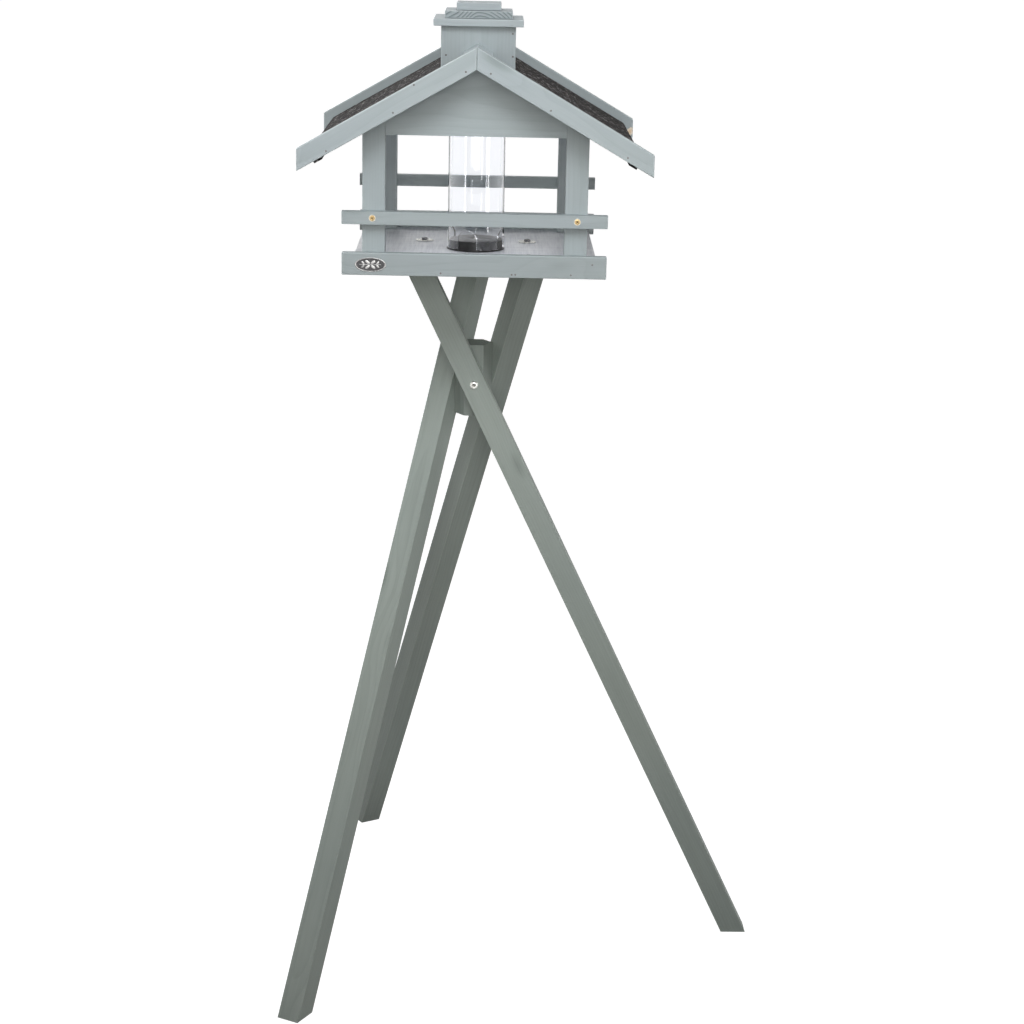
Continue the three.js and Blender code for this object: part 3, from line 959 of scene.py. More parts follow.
@dataclass
class Board:
    """One piece of wood, taken from its CAD node.

    Attributes:
        node: the CAD node.
        finish: its finish.
        along: the way of the grain; the longest edge where none is given.
        ease: how far its edges are rounded, in metres.
        heart: where the heart of the tree lies, across and through the board, in metres.
        tone: how light its stain came out; on the ridge caps it also holds painted light.
        body: the CAD body that it moves with.
        square_above: the height above which its edges stay square, where there is one.
    """

    node: str
    finish: Finish = Finish.HOUSE
    along: Vector | None = None
    ease: float = 0.0011
    heart: tuple[float, float] | None = None
    tone: float = 1.0
    body: str = "feeder"
    square_above: float | None = None

    def build(self) -> bpy.types.Object:
        """Eases the edges, stores the grain and dresses the board.

        Returns:
            The finished board.
        """
        piece = self.blank()
        if self.square_above is not None:
            self._square_off(piece)
        limit = "ANGLE" if self.square_above is None else "WEIGHT"
        Bench.ease(piece, self.ease, SHARP_DEGREES, segments=3, material=EASED_MARK, limit_method=limit)
        Bench.level(piece, 40)
        self._grain(piece)
        Bench.dress(piece, self.body, self.finish, (self.node,))
        return piece

    def blank(self) -> bpy.types.Object:
        """Copies the CAD node's mesh and joins its triangles into clean faces.

        Returns:
            The board with sharp edges.
        """
        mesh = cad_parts[self.node].data.copy()
        mesh.materials.clear()
        for finish in (Finish.HOUSE, Finish.LEG):
            mesh.materials.append(finish.material)
        piece = bpy.data.objects.new(f"{self.node}_board", mesh)
        bpy.context.scene.collection.objects.link(piece)
        Bench.open(piece)
        bpy.ops.mesh.remove_doubles(threshold=MERGE_GAP)
        bpy.ops.mesh.customdata_custom_splitnormals_clear()
        bpy.ops.mesh.dissolve_limited(angle_limit=math.radians(FLAT_DEGREES))
        Bench.close()
        mesh.polygons.foreach_set("material_index", np.zeros(len(mesh.polygons), np.int32))
        return piece

    def _square_off(self, piece: bpy.types.Object) -> None:
        """Marks for easing only the edges that lie below a height, where the wood above is fitted flush.

        Args:
            piece: the board.
        """
        Bench.open(piece)
        bpy.ops.mesh.bisect(plane_co=(0, 0, self.square_above), plane_no=(0, 0, 1))
        Bench.close()
        mesh = piece.data
        ways: dict[tuple[int, int], list[Vector]] = {}
        for face in mesh.polygons:
            for key in face.edge_keys:
                ways.setdefault(key, []).append(face.normal.copy())
        weights = []
        for edge in mesh.edges:
            sides = ways[tuple(sorted(edge.vertices))]
            sharp = len(sides) == 2 and sides[0].angle(sides[1]) > math.radians(SHARP_DEGREES)
            top = max(mesh.vertices[number].co.z for number in edge.vertices)
            weights.append(float(sharp and top <= self.square_above + HAIR))
        store(mesh, "bevel_weight_edge", "FLOAT", "EDGE", np.array(weights))

    def _grain(self, piece: bpy.types.Object) -> None:
        """Stores the board's own directions, its end grain and its eased edges.

        Args:
            piece: the board.
        """
        mesh = piece.data
        spots = fetch(mesh.vertices, "co", 3)
        normals = fetch(mesh.polygons, "normal", 3)
        eased = take_marks(mesh)

        along = np.array(self.along.normalized() if self.along else self._longest(mesh, spots))
        lean = np.abs(normals @ along)
        flat = fetch(mesh.polygons, "area") * (lean < WITH_GRAIN)
        through = normals[int(np.argmax(flat))]
        through = through - along * (through @ along)
        through /= np.linalg.norm(through) * np.sign(through[int(np.argmax(np.abs(through)))])
        across = np.cross(along, through)

        draw = Random(self.node)
        heart = self.heart or (draw.uniform(-0.03, 0.03), -draw.uniform(0.03, 0.09))
        middle = (spots.max(0) + spots.min(0)) / 2
        away = spots - middle
        grain = np.stack([away @ along + draw.uniform(1, 40), away @ across - heart[0],
                          away @ through - heart[1]], axis=1)
        store(mesh, "grain", "FLOAT_VECTOR", "POINT", grain)
        store(mesh, "end_grain", "FLOAT", "FACE", (lean > END_GRAIN) * 1.0)
        store(mesh, "eased", "FLOAT", "FACE", eased)
        tone = self.tone * draw.uniform(0.975, 1.025)
        store(mesh, "tone", "FLOAT", "POINT", np.full(len(spots), tone))

    @staticmethod
    def _longest(mesh: bpy.types.Mesh, spots: np.ndarray) -> np.ndarray:
        """Gives the way of the longest edge.

        Args:
            mesh: the board's mesh.
            spots: its corners.

        Returns:
            The way, one metre long.
        """
        ends = fetch(mesh.edges, "vertices", 2, np.int32)
        ways = spots[ends[:, 1]] - spots[ends[:, 0]]
        lengths = np.linalg.norm(ways, axis=1)
        best = int(np.argmax(lengths))
        return ways[best] / lengths[best]


X, Y, Z = Vector((1, 0, 0)), Vector((0, 1, 0)), Vector((0, 0, 1))


# ---------------------------------------------------------------- the sub-assemblies


@dataclass
class Tray:
    """The floor, its two rims and the badge.

    Attributes:
        badge_long: the badge's length, in metres.
        badge_tall: its height.
        badge_thick: how far its rim stands out.
        leaf: the half width, half length and half thickness of a leaf of full size.
        leaves: how far out each pair of leaves sits, how far it leans and its share of the full size.
        leaf_up: how far a leaf of full size sits from the stem.
        stem: the stem's radius.
        bed: the height at which the sprig lies, as a share of the badge's thickness.
    """

    badge_long: float = 0.039
    badge_tall: float = 0.0175
    badge_thick: float = 0.0012
    leaf: tuple[float, float, float] = (0.0017, 0.0033, 0.00035)
    leaves: tuple[tuple[float, float, float], ...] = ((0.0034, 0.95, 1.0), (0.0092, 0.75, 0.72))
    leaf_up: float = 0.0030
    stem: float = 0.00034
    bed: float = 0.66

    def build(self) -> None:
        """Builds the tray."""
        Board("tray_floor", Finish.PLYWOOD, along=Y, ease=0.0005, heart=(0.0, 0.0)).build()
        for end in ("front", "back"):
            Board(f"tray_rim_{end}", along=X, tone=0.88).build()
        self._badge()

    def _badge(self) -> None:
        """Builds an oval plate with a raised rim, and a sprig of leaves lying in it."""
        centre = middle_of("badge_plate")
        seat = Vector((centre.x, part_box("badge_plate")[1].y, centre.z))
        bpy.ops.mesh.primitive_circle_add(vertices=64, radius=0.5, fill_type="NGON")
        plate = bpy.context.object
        plate.name = "badge_field"
        plate.scale = (self.badge_long, self.badge_tall, 1.0)
        Bench.settle(plate)
        Bench.open(plate)
        rise = (0, 0, self.badge_thick * 0.55)
        bpy.ops.mesh.extrude_region_move(TRANSFORM_OT_translate={"value": rise})
        Bench.close()
        Bench.open(plate)
        bpy.ops.mesh.normals_make_consistent(inside=False)
        Bench.close()

        pieces = [self._ring(0.5, self.badge_thick)]
        for side in (-1, 1):
            for place, turn, size in self.leaves:
                for up in (-1, 1):
                    pieces.append(self._leaf(side * place, up, side * up * turn, size))
        pieces.append(self._stem())
        sprig = Bench.join(pieces, "badge_sprig")
        for part in (plate, sprig):
            turn = Matrix.Rotation(math.radians(90), 4, "X")
            part.data.transform(Matrix.Translation(seat) @ turn)
            Bench.smooth(part, 35)
        Bench.dress(plate, "feeder", Finish.BADGE_FIELD, ("badge_plate",))
        Bench.dress(sprig, "feeder", Finish.BADGE_METAL)

    def _ring(self, radius: float, high: float) -> bpy.types.Object:
        """Builds the plate's raised rim.

        Args:
            radius: of the plate before it is drawn out.
            high: how far the rim stands out.

        Returns:
            The rim.
        """
        bpy.ops.mesh.primitive_torus_add(
            major_segments=64, minor_segments=10, major_radius=radius * 0.955, minor_radius=radius * 0.045
        )
        ring = bpy.context.object
        ring.scale = (self.badge_long, self.badge_tall, high / (radius * 0.09) * 0.62)
        ring.location.z = high * 0.69
        Bench.settle(ring)
        return ring

    def _leaf(self, x: float, up: int, turn: float, size: float) -> bpy.types.Object:
        """Builds one almond leaf beside the stem.

        Args:
            x: how far out along the stem it sits, in metres.
            up: 1 above the stem, -1 below it.
            turn: how far it leans, in radians.
            size: its share of the full size.

        Returns:
            The leaf.
        """
        bpy.ops.mesh.primitive_uv_sphere_add(segments=12, ring_count=6, radius=1.0)
        leaf = bpy.context.object
        wide, long, thick = self.leaf
        leaf.scale = (wide * size, long * size, thick)
        leaf.rotation_euler.z = -turn
        leaf.location = (x, up * self.leaf_up * size, self.badge_thick * self.bed)
        Bench.settle(leaf)
        return leaf

    def _stem(self) -> bpy.types.Object:
        """Builds the stem through the leaves.

        Returns:
            The stem.
        """
        long = self.badge_long * 0.70
        bpy.ops.mesh.primitive_cylinder_add(vertices=10, radius=self.stem, depth=long)
        stem = bpy.context.object
        stem.rotation_euler.y = math.radians(90)
        stem.location.z = self.badge_thick * self.bed
        Bench.settle(stem)
        return stem


class Recess(Enum):
    """What a driver turns a head by."""

    CROSS = "cross"
    HEX_SOCKET = "hex socket"
    NONE = "none"


@dataclass
class Head:
    """The pattern of one kind of fastener, standing on the origin with its head towards +Z.

    Attributes:
        radius: of the head.
        rise: of the head above its seat.
        crown: how much of the rise is domed.
        recess: the driver's recess.
        shank: the shank's radius.
        length: the shank's length.
        sides: of the head's outline.
        crown_steps: how many rings make the dome.
        crown_ring: the width of each, as a share of the radius.
        eased_edge: how far its edges are rounded, as a share of the radius.
        recess_shade_out: how far out the painted shade in the recess reaches, as a share of the radius.
        recess_shade_up: how far up it reaches, as a share of the rise.
    """

    radius: float
    rise: float
    crown: float
    recess: Recess
    shank: float
    length: float
    sides: int = 40
    crown_steps: int = 4
    crown_ring: float = 0.11
    eased_edge: float = 0.045
    recess_shade_out: float = 0.6
    recess_shade_up: float = 0.93

    def build(self, name: str) -> bpy.types.Object:
        """Builds the pattern.

        Args:
            name: the pattern's name.

        Returns:
            The pattern.
        """
        bpy.ops.mesh.primitive_cylinder_add(
            vertices=self.sides, radius=self.radius, depth=self.rise, location=(0, 0, self.rise / 2)
        )
        head = bpy.context.object
        head.name = name
        Bench.settle(head)
        Bench.pick_faces(head, lambda centre, normal: normal.z > 0.9)
        quarter, steps = math.pi / 2, self.crown_steps
        for step in range(steps):
            share = math.sin(quarter * (step + 1) / steps) - math.sin(quarter * step / steps)
            bpy.ops.mesh.inset(thickness=self.radius * self.crown_ring, depth=self.crown * share)
        Bench.close()
        self._crown_down(head)
        Bench.pick_faces(head, lambda centre, normal: normal.z < -0.9)
        bpy.ops.mesh.inset(thickness=self.radius - self.shank, depth=0.0)
        bpy.ops.mesh.extrude_region_move(TRANSFORM_OT_translate={"value": (0, 0, -self.length)})
        Bench.close()
        self._recess(head)
        Bench.ease(head, self.radius * self.eased_edge, 35)
        Bench.smooth(head, 30)
        self._mark_recess_shade(head)
        return head

    def _mark_recess_shade(self, head: bpy.types.Object) -> None:
        """Stores which faces lie down in the recess, where the metal is painted with shade.

        Args:
            head: the pattern.
        """
        # painted shade: the faces down in the recess, below the crown and near the middle, are marked for
        # the metal to darken
        top, rim = self.rise * self.recess_shade_up, self.radius * self.recess_shade_out
        centres = [face.center for face in head.data.polygons]
        inside = [0 < centre.z < top and centre.xy.length < rim for centre in centres]
        store(head.data, "recess", "FLOAT", "FACE", np.array(inside) * 1.0)

    def _crown_down(self, head: bpy.types.Object) -> None:
        """Lowers the head so that its crown ends at the rise.

        Args:
            head: the pattern.
        """
        for vertex in head.data.vertices:
            if vertex.co.z > self.rise * 0.5:
                vertex.co.z -= self.crown

    def _recess(self, head: bpy.types.Object) -> None:
        """Cuts the driver's recess.

        Args:
            head: the pattern.
        """
        deep = self.rise * 0.95
        if self.recess is Recess.HEX_SOCKET:
            bpy.ops.mesh.primitive_cylinder_add(
                vertices=6, radius=self.radius * 0.48, depth=deep, location=(0, 0, self.rise)
            )
            Bench.cut(head, self._settled())
        elif self.recess is Recess.CROSS:
            for turn in (0, 90):
                bpy.ops.mesh.primitive_cube_add(
                    size=1, location=(0, 0, self.rise), rotation=(0, 0, math.radians(turn))
                )
                bpy.context.object.scale = (self.radius * 1.15, self.radius * 0.30, deep)
                Bench.cut(head, self._settled())

    @staticmethod
    def _settled() -> bpy.types.Object:
        """Settles the newest piece."""
        Bench.settle(bpy.context.object)
        return bpy.context.object


@dataclass
class Nails:
    """The nail heads that show on the boards.

    Attributes:
        radius: of a head, in metres.
        proud: how far it stands out of the board, in metres.
        thick: how thick it is, in metres.
        slope: of the bargeboards.
        barge: each one's distance from the ridge and rise above the board's lower edge, in millimetres.
        rim: each one's place on the tray's rim, across and up, in the house's own millimetres.
        chimney: each one's place on the chimney, in the same way.
        soffit: the height at which the bargeboards' lower edges meet, in the same way.
    """

    radius: float = 0.00125
    proud: float = 0.00028
    thick: float = 0.0016
    slope: float = math.tan(PITCH)
    barge: tuple[tuple[float, float], ...] = (
        (-75.4, 24.6), (-100.4, 5.3), (-181.3, 4.3), (-13.2, 5.5), (16.8, 6.0), (89.9, 5.5), (184.8, 5.2),
    )
    rim: tuple[tuple[float, float], ...] = (
        (-41.6, 4.1), (47.0, 4.0), (51.4, 4.2), (120.6, 4.8), (147.2, 18.1),
    )
    chimney: tuple[tuple[float, float], ...] = ((-41.4, 259.7), (43.7, 287.6), (44.3, 259.0))
    soffit: float = 255.0

    def build(self) -> None:
        """Builds the nails of each board as one piece."""
        pattern = self._pattern()
        barge = [(x, self.soffit - self.slope * abs(x) + up) for x, up in self.barge]
        for end, side in (("front", -1), ("back", 1)):
            self._row(pattern, f"bargeboard_nails_{end}", barge, f"bargeboard_{end}_left", side)
            self._row(pattern, f"tray_rim_nails_{end}", self.rim, f"tray_rim_{end}", side)
            self._row(pattern, f"chimney_nails_{end}", self.chimney, f"chimney_wall_{end}", side)
        bpy.data.objects.remove(pattern)

    def _pattern(self) -> bpy.types.Object:
        """Builds one nail head.

        Returns:
            The pattern.
        """
        middle = (0, 0, self.proud - self.thick / 2)
        bpy.ops.mesh.primitive_cylinder_add(
            vertices=12, radius=self.radius, depth=self.thick, location=middle
        )
        nail = bpy.context.object
        Bench.settle(nail)
        Bench.pick_faces(nail, lambda centre, normal: normal.z > 0.9)
        bpy.ops.mesh.inset(thickness=self.radius * 0.32, depth=self.proud * 0.5)
        bpy.ops.mesh.inset(thickness=self.radius * 0.25, depth=-self.proud * 0.6)
        Bench.close()
        return nail

    @staticmethod
    def _row(
        pattern: bpy.types.Object, name: str, places: Iterable[tuple[float, float]], board: str, side: int
    ) -> None:
        """Sets nails in a board's outer face.

        Args:
            pattern: one nail head.
            name: the row's name.
            places: each nail's place across and up, in the house's own millimetres, as seen from its end.
            board: the CAD node of the board.
            side: -1 at the front, 1 at the back.
        """
        low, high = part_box(board)
        face = low.y if side < 0 else high.y
        out = Vector((0, side, 0))
        nails = []
        for number, (x, z) in enumerate(places):
            seat = house(side * -x, 0, z)
            seat.y = face
            nails.append(Bench.turned_copy(pattern, f"nail_{number}", seat, out, number * 0.7))
        row = Bench.join(nails, name)
        Bench.smooth(row, 30)
        Bench.dress(row, "feeder", Finish.NAIL)


@dataclass
class House:
    """Posts, rails and gable panels.

    Attributes:
        screw: the pattern of a rail screw.
        sunk: how deep the screw's seat lies in the rail, in metres.
        collar: how far out the ring of splinters reaches, in metres.
        burr: the radius of the ring's own section, in metres.
        lap: how far up the gable panels are eased beyond the joint with the posts, in metres.
    """

    screw: Head = field(
        default_factory=lambda: Head(0.0034, 0.0012, 0.0003, Recess.CROSS, 0.0020, 0.030)
    )
    sunk: float = 0.0009
    collar: float = 0.0044
    burr: float = 0.00042
    lap: float = 0.0005

    def build(self) -> None:
        """Builds the frame of the house."""
        for end in ("front", "back"):
            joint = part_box(f"gable_panel_{end}")[0].z
            for side in ("left", "right"):
                Board(f"post_{end}_{side}", along=Z, ease=0.0018, tone=0.95, square_above=joint).build()
            Board(f"rail_{end}", along=X, tone=0.93).build()
            Board(
                f"gable_panel_{end}", along=X, tone=0.95, ease=0.0008, square_above=joint + self.lap
            ).build()
        self._screws()

    def _screws(self) -> None:
        """Builds the rail screws, each in a ring of raised pale fibres."""
        pattern = self.screw.build("rail_screw_pattern")
        ring = self._splinter_ring()
        for end, out in (("front", -Y), ("back", Y)):
            for side, turn in (("left", 0.35), ("right", 0.9)):
                node = f"rail_screw_{end}_{side}"
                middle = middle_of(node)
                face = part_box(f"rail_{end}")[0 if end == "front" else 1].y
                seat = Vector((middle.x, face - out.y * self.sunk, middle.z))
                screw = Bench.turned_copy(pattern, f"{node}_cross", seat, out, turn)
                Bench.dress(screw, "feeder", Finish.BRASS, (node,))
                seat = Vector((middle.x, face, middle.z))
                burr = Bench.turned_copy(ring, f"{node}_burr", seat, out, turn)
                Bench.dress(burr, "feeder", Finish.SPLINTERS)
        for spare in (pattern, ring):
            bpy.data.objects.remove(spare)

    def _splinter_ring(self) -> bpy.types.Object:
        """Builds the low ring that a countersunk head raises around itself.

        Returns:
            The ring.
        """
        bpy.ops.mesh.primitive_torus_add(
            major_segments=40, minor_segments=8, major_radius=self.collar * 0.86, minor_radius=self.burr
        )
        ring = bpy.context.object
        ring.scale.z = 0.6
        Bench.settle(ring)
        Bench.smooth(ring, 60)
        return ring


@dataclass
class Roof:
    """Roof panels, felt, bargeboards and ridge caps.

    Attributes:
        grid: the mesh of the net that the felt is cut into, in metres.
        swell: how far the felt's surface rises and falls, in metres.
        swell_size: how wide those swells are, in metres.
        swell_rest: the swell that leaves the surface where it is, from 0 to 1.
    """

    grid: float = 0.0030
    swell: float = 0.00055
    swell_size: float = 0.009
    swell_rest: float = 0.62

    def build(self) -> None:
        """Builds the roof."""
        for side, sign in (("left", -1), ("right", 1)):
            Board(f"roof_panel_{side}", along=Y, tone=0.92).build()
            self._felt(side, sign)
            slope = Vector((math.cos(PITCH), 0, -sign * math.sin(PITCH)))
            for end in ("front", "back"):
                Board(f"bargeboard_{end}_{side}", along=slope, tone=1.01).build()
        for end in ("front", "back"):
            # the ridge caps' tone of 1.30 is partly a paler stain and partly painted light, lifting the
            # shade on their front ends to the bargeboards' brightness
            Board(f"ridge_cap_{end}", along=X, tone=1.30, ease=0.0006).build()

    def _felt(self, side: str, sign: int) -> None:
        """Builds a sheet of felt: the CAD sheet cut into a fine net and roughened a little.

        Args:
            side: left or right.
            sign: -1 on the left, 1 on the right.
        """
        node = f"roof_felt_{side}"
        piece = Board(node, Finish.FELT).blank()
        piece.name = f"{node}_mineral"
        low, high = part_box(node)
        grid = self.grid * 1
        slope = Vector((sign * math.cos(PITCH), 0, -math.sin(PITCH)))
        self._slices(piece, Y, low.y, high.y, grid)
        ends = [Vector((x, 0, z)).dot(slope) for x in (low.x, high.x) for z in (low.z, high.z)]
        self._slices(piece, slope, min(ends), max(ends), grid)
        texture = bpy.data.textures.new(f"felt_swell_{side}", "CLOUDS")
        texture.noise_scale = self.swell_size
        texture.noise_depth = 2
        Bench.modify(
            piece, "DISPLACE", texture=texture, texture_coords="LOCAL", strength=self.swell,
            mid_level=self.swell_rest,
        )
        Bench.smooth(piece, 50)
        Bench.dress(piece, "feeder", Finish.FELT, (node,))

    @staticmethod
    def _slices(piece: bpy.types.Object, way: Vector, start: float, end: float, gap: float) -> None:
        """Cuts the piece into even slices along a way.

        Args:
            piece: the sheet.
            way: the way across the slices.
            start: where the first begins, in metres.
            end: where the last ends.
            gap: how wide each is, about.
        """
        count = int((end - start) / gap)
        Bench.open(piece)
        for step in range(1, count):
            bpy.ops.mesh.select_all(action="SELECT")
            spot = way * (start + (end - start) * step / count)
            bpy.ops.mesh.bisect(plane_co=spot, plane_no=way)
        Bench.close()


@dataclass
class Chimney:
    """The square chimney and its lid of stacked plates.

    Attributes:
        plate_ease: how far the plates' edges are rounded, in metres.
        plates: each plate's place, the way of its grain, its tone and the heart of its tree.
    """

    plate_ease: float = 0.0009
    plates: tuple[tuple[str, Vector, float, tuple[float, float] | None], ...] = (
        ("bottom", X, 0.98, None), ("middle", Y, 0.93, (0.0, -0.036)), ("top", X, 0.92, None),
    )

    def build(self) -> None:
        """Builds the chimney and the lid."""
        for side, tone in (("front", 0.97), ("back", 0.97), ("left", 1.0), ("right", 1.0)):
            Board(f"chimney_wall_{side}", along=Z, tone=tone).build()
        Board("lid_locating_block", along=X, body="lid").build()
        for place, way, tone, heart in self.plates:
            Board(
                f"lid_plate_{place}", Finish.COPING, way, self.plate_ease, heart, tone, body="lid"
            ).build()


@dataclass
class Silo:
    """The clear tube on its black base.

    Attributes:
        edge: how far the moulded edges are rounded, in metres.
    """

    edge: float = 0.0004

    def build(self) -> None:
        """Builds the silo."""
        self._moulded("silo_tube", "silo", Finish.ACRYLIC, "silo_tube_polished", 12)
        self._moulded("silo_base", "feeder", Finish.PLASTIC, "silo_base_moulding", 30)
        self._moulded("silo_base_screw", "feeder", Finish.ZINC, "silo_base_screw_turned", 30)

    def _moulded(self, node: str, body: str, finish: Finish, name: str, sharp: float) -> None:
        """Copies a turned or moulded part and softens its edges.

        Args:
            node: the CAD node.
            body: the CAD body that it moves with.
            finish: its finish.
            name: the piece's name.
            sharp: the bend, in degrees, past which an edge stays sharp.
        """
        piece = Board(node, finish).blank()
        piece.name = name
        Bench.ease(piece, self.edge, 40, material=EASED_MARK)
        Bench.smooth(piece, sharp)
        store(piece.data, "eased", "FLOAT", "FACE", take_marks(piece.data))
        Bench.dress(piece, body, finish, (node,))


@dataclass
class Stand:
    """The three legs, the hub between them and the board under the tray.

    Attributes:
        bolt: the pattern of a hub bolt.
        nut: the pattern of a hexagon screw of the tray floor.
        washer_ease: how far a washer's edges are rounded, in metres.
    """

    bolt: Head = field(
        default_factory=lambda: Head(0.0056, 0.0030, 0.0016, Recess.HEX_SOCKET, 0.0030, 0.044)
    )
    nut: Head = field(
        default_factory=lambda: Head(0.0044, 0.0028, 0.0006, Recess.NONE, 0.0025, 0.013, 6)
    )
    washer_ease: float = 0.0003

    def build(self) -> None:
        """Builds the stand."""
        Board("stand_head_board", Finish.LEG, along=X).build()
        Board("hub_block", Finish.LEG, along=Z, ease=0.0016, tone=0.86, heart=(0.0, 0.0)).build()
        for name, tone in (("front", 1.02), ("back_left", 1.0), ("back_right", 0.90)):
            Board(f"leg_{name}", Finish.LEG, ease=0.0022, tone=tone).build()
        self._bolts()
        self._floor_screws()
        for name in LEG_TURNS:
            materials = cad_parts[f"leg_top_screw_{name}"].data.materials
            materials.clear()
            materials.append(Finish.ZINC.material)

    def _bolts(self) -> None:
        """Sets a button-head bolt in each leg."""
        pattern = self.bolt.build("hub_bolt_pattern")
        for name, turn in LEG_TURNS.items():
            angle = math.radians(turn) + STAND_TURN
            out = Vector((math.sin(angle), -math.cos(angle), 0))
            node = f"hub_bolt_{name}"
            spots = [vertex.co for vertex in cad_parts[node].data.vertices]
            reach = max(spot.dot(out) for spot in spots)
            middle = middle_of(node)
            seat = middle + out * (reach - self.bolt.rise - middle.dot(out))
            bolt = Bench.turned_copy(pattern, f"{node}_button", seat, out, 0.3)
            Bench.dress(bolt, "feeder", Finish.ZINC, (node,))
        bpy.data.objects.remove(pattern)

    def _floor_screws(self) -> None:
        """Sets the hexagon screws and their washers on the tray floor."""
        pattern = self.nut.build("floor_screw_pattern")
        for end in ("front", "back"):
            for side in ("left", "right"):
                node = f"floor_screw_{end}_{side}"
                low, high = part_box(node)
                seat = Vector(((low.x + high.x) / 2, (low.y + high.y) / 2, high.z - self.nut.rise))
                screw = Bench.turned_copy(pattern, f"{node}_hexagon", seat, Z, 0.4)
                Bench.dress(screw, "feeder", Finish.DARK_STEEL, (node,))
                node = f"floor_washer_{end}_{side}"
                washer = Board(node, Finish.ZINC).blank()
                washer.name = f"{node}_disc"
                Bench.ease(washer, self.washer_ease, 40)
                Bench.level(washer, 35)
                Bench.dress(washer, "feeder", Finish.ZINC, (node,))
        bpy.data.objects.remove(pattern)


# ---------------------------------------------------------------- the studio


@dataclass(frozen=True)
class Lamp:
    """One soft lamp, in metres from the foot of the silo's axis.

    Attributes:
        name: what it is called.
        place: where it hangs.
        aim: what it points at.
        size: its width, and its height where tall isn't given.
        power: in watts.
        spread: of its beam, in degrees.
        colour: of its light.
        tall: the height of a strip box, which shows in reflections but lights no dull surface.
    """

    name: str
    place: tuple[float, float, float]
    aim: tuple[float, float, float]
    size: float
    power: float
    spread: float = 180.0
    colour: Colour = (1.0, 1.0, 1.0)
    tall: float | None = None


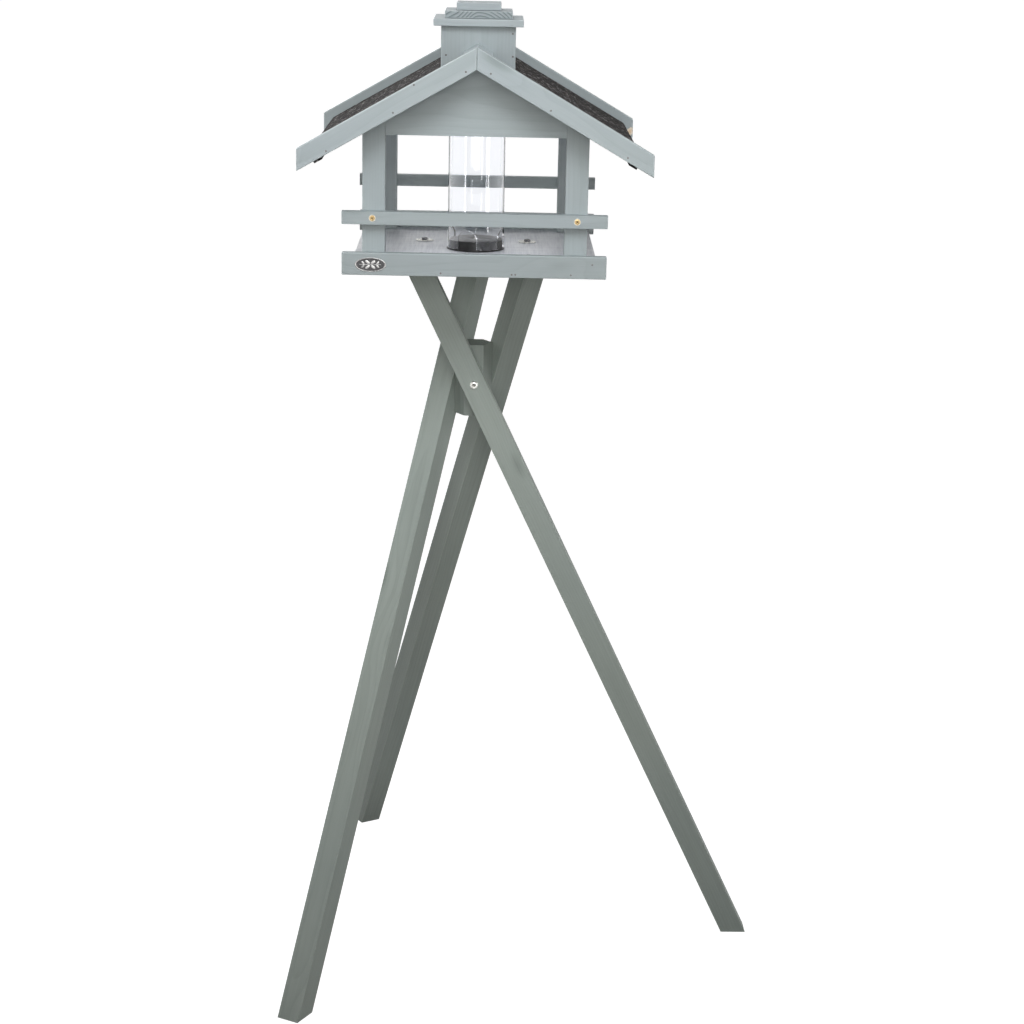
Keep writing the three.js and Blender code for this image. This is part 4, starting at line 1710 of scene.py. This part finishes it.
@dataclass
class Studio:
    """A white floor, a pale surround, soft lamps and the camera.

    Attributes:
        floor_side: the floor's side, in metres.
        surround: how strongly the room lights dull surfaces.
        lamps: the soft lamps.
        camera_place: the camera, in metres from the foot of the silo's axis.
        yaw: how far it is turned to the right.
        dip: how far it looks down.
        roll: how far it leans.
        lens: its focal length, in millimetres.
        sensor: the width of its film, in millimetres.
        shift: of its lens, in widths of the film.
        reach: how far it sees, in metres.
    """

    floor_side: float = 90.0
    surround: float = 0.087
    lamps: tuple[Lamp, ...] = (
        Lamp("key", (0.0, -1.35, 2.15), (0.0, -0.15, 1.08), 0.8, 3.9, 80, (0.965, 1.0, 1.03)),
        Lamp("front_fill", (0.0, -2.2, 1.30), (0.0, 0.0, 0.86), 1.0, 2.65, 66, (1.0, 0.995, 0.97)),
        Lamp("back_fill", (-0.9, 2.4, 2.1), (0.0, 0.0, 0.95), 1.4, 7.0, 90),
        Lamp("left_fill", (-2.6, 0.3, 1.6), (0.0, 0.0, 0.85), 1.4, 2.2, 80),
        Lamp("right_fill", (2.6, 0.3, 1.6), (0.0, 0.0, 0.85), 1.4, 2.2, 80),
        Lamp("left_strip", (-1.40, -1.42, 0.90), (0.0, 0.0, 0.90), 0.22, 7.0, tall=1.4),
        Lamp("right_strip", (1.53, -1.29, 0.90), (0.0, 0.0, 0.90), 0.22, 7.0, tall=1.4),
        Lamp("narrow_strip", (0.72, -1.87, 0.90), (0.0, 0.0, 0.90), 0.10, 3.0, tall=1.4),
    )
    camera_place: tuple[float, float, float] = (0.02076, -3.00196, 1.42400)
    yaw: float = math.radians(0.84)
    dip: float = math.radians(16.87)
    roll: float = math.radians(1.25)
    lens: float = 79.36
    sensor: float = 36.0
    shift: tuple[float, float] = (-0.0049, 0.0630)
    reach: float = 200.0

    def build(self) -> None:
        """Builds the studio."""
        bpy.context.scene.view_settings.view_transform = "Standard"
        self._surround()
        self._floor()
        for lamp in self.lamps:
            self._lamp(lamp)
        self._camera()

    def _surround(self) -> None:
        """Lights the room evenly, and shows white to the eye and in reflections."""
        world = bpy.data.worlds.new("studio")
        bpy.context.scene.world = world
        world.use_nodes = True
        g = Graph(world.node_tree)
        soft = g.node("ShaderNodeLightPath", {}, {}, "Is Diffuse Ray")
        seen = g.node("ShaderNodeBackground", {}, {"Color": (1, 1, 1, 1), "Strength": 1.0})
        warm = {"Color": (1, 0.985, 0.95, 1), "Strength": self.surround}
        lit = g.node("ShaderNodeBackground", {}, warm)
        both = g.node("ShaderNodeMixShader", {}, {0: soft, 1: seen, 2: lit})
        g.finish(both, "ShaderNodeOutputWorld")

    def _floor(self) -> None:
        """Lays a white floor that hardly takes a shadow."""
        bpy.ops.mesh.primitive_plane_add(size=self.floor_side, location=(0, 0, 0))
        floor = bpy.context.object
        floor.name = "studio_floor"
        material, g = new_graph("studio_white")
        soft = g.node("ShaderNodeLightPath", {}, {}, "Is Diffuse Ray")
        paint = g.node("ShaderNodeBsdfDiffuse", {}, {"Color": (0.30, 0.30, 0.30, 1)})
        glow = g.node("ShaderNodeEmission", {}, {"Color": (1, 1, 1, 1), "Strength": 1.0})
        lit = g.node("ShaderNodeAddShader", {}, {0: paint, 1: glow})
        dim = g.node("ShaderNodeBsdfDiffuse", {}, {"Color": (0.16, 0.16, 0.155, 1)})
        g.finish(g.node("ShaderNodeMixShader", {}, {0: soft, 1: lit, 2: dim}))
        floor.data.materials.append(material)

    def _lamp(self, lamp: Lamp) -> None:
        """Hangs one lamp.

        Args:
            lamp: the lamp.
        """
        base = Vector((AXIS.x, AXIS.y, 0))
        place, aim = base + Vector(lamp.place), base + Vector(lamp.aim)
        bpy.ops.object.light_add(type="AREA", location=place)
        light = bpy.context.object
        light.name = f"lamp_{lamp.name}"
        light.data.shape = "RECTANGLE"
        light.data.size = lamp.size
        light.data.size_y = lamp.tall or lamp.size
        light.visible_diffuse = lamp.tall is None
        light.data.energy = lamp.power
        light.data.spread = math.radians(lamp.spread)
        light.data.color = lamp.colour
        light.rotation_euler = (place - aim).to_track_quat("Z", "Y").to_euler()

    def _camera(self) -> None:
        """Stands the camera before the feeder, a little above the roof."""
        level = math.cos(self.dip)
        ahead = Vector(
            (math.sin(self.yaw) * level, math.cos(self.yaw) * level, -math.sin(self.dip))
        )
        right = Vector((math.cos(self.yaw), -math.sin(self.yaw), 0))
        up = right.cross(ahead)
        leaned = right * math.cos(self.roll) + up * math.sin(self.roll)
        raised = up * math.cos(self.roll) - right * math.sin(self.roll)
        bpy.ops.object.camera_add()
        camera = bpy.context.object
        camera.name = "camera"
        turn = Matrix((leaned, raised, -ahead)).transposed().to_4x4()
        place = Vector((AXIS.x, AXIS.y, 0)) + Vector(self.camera_place)
        camera.matrix_world = Matrix.Translation(place) @ turn
        camera.data.sensor_width = self.sensor
        camera.data.lens = self.lens
        camera.data.shift_x, camera.data.shift_y = self.shift
        camera.data.clip_end = self.reach
        bpy.context.scene.camera = camera


# ---------------------------------------------------------------- everything in order


def main() -> None:
    """Builds the studio and then each part of the feeder."""
    logging.basicConfig(level=logging.INFO, format="%(name)s: %(message)s")
    bpy.ops.object.select_all(action="DESELECT")
    for part in (Studio(), Tray(), House(), Roof(), Chimney(), Silo(), Stand(), Nails()):
        LOG.info("building %s", type(part).__name__)
        part.build()


if __name__ == "__main__":
    main()
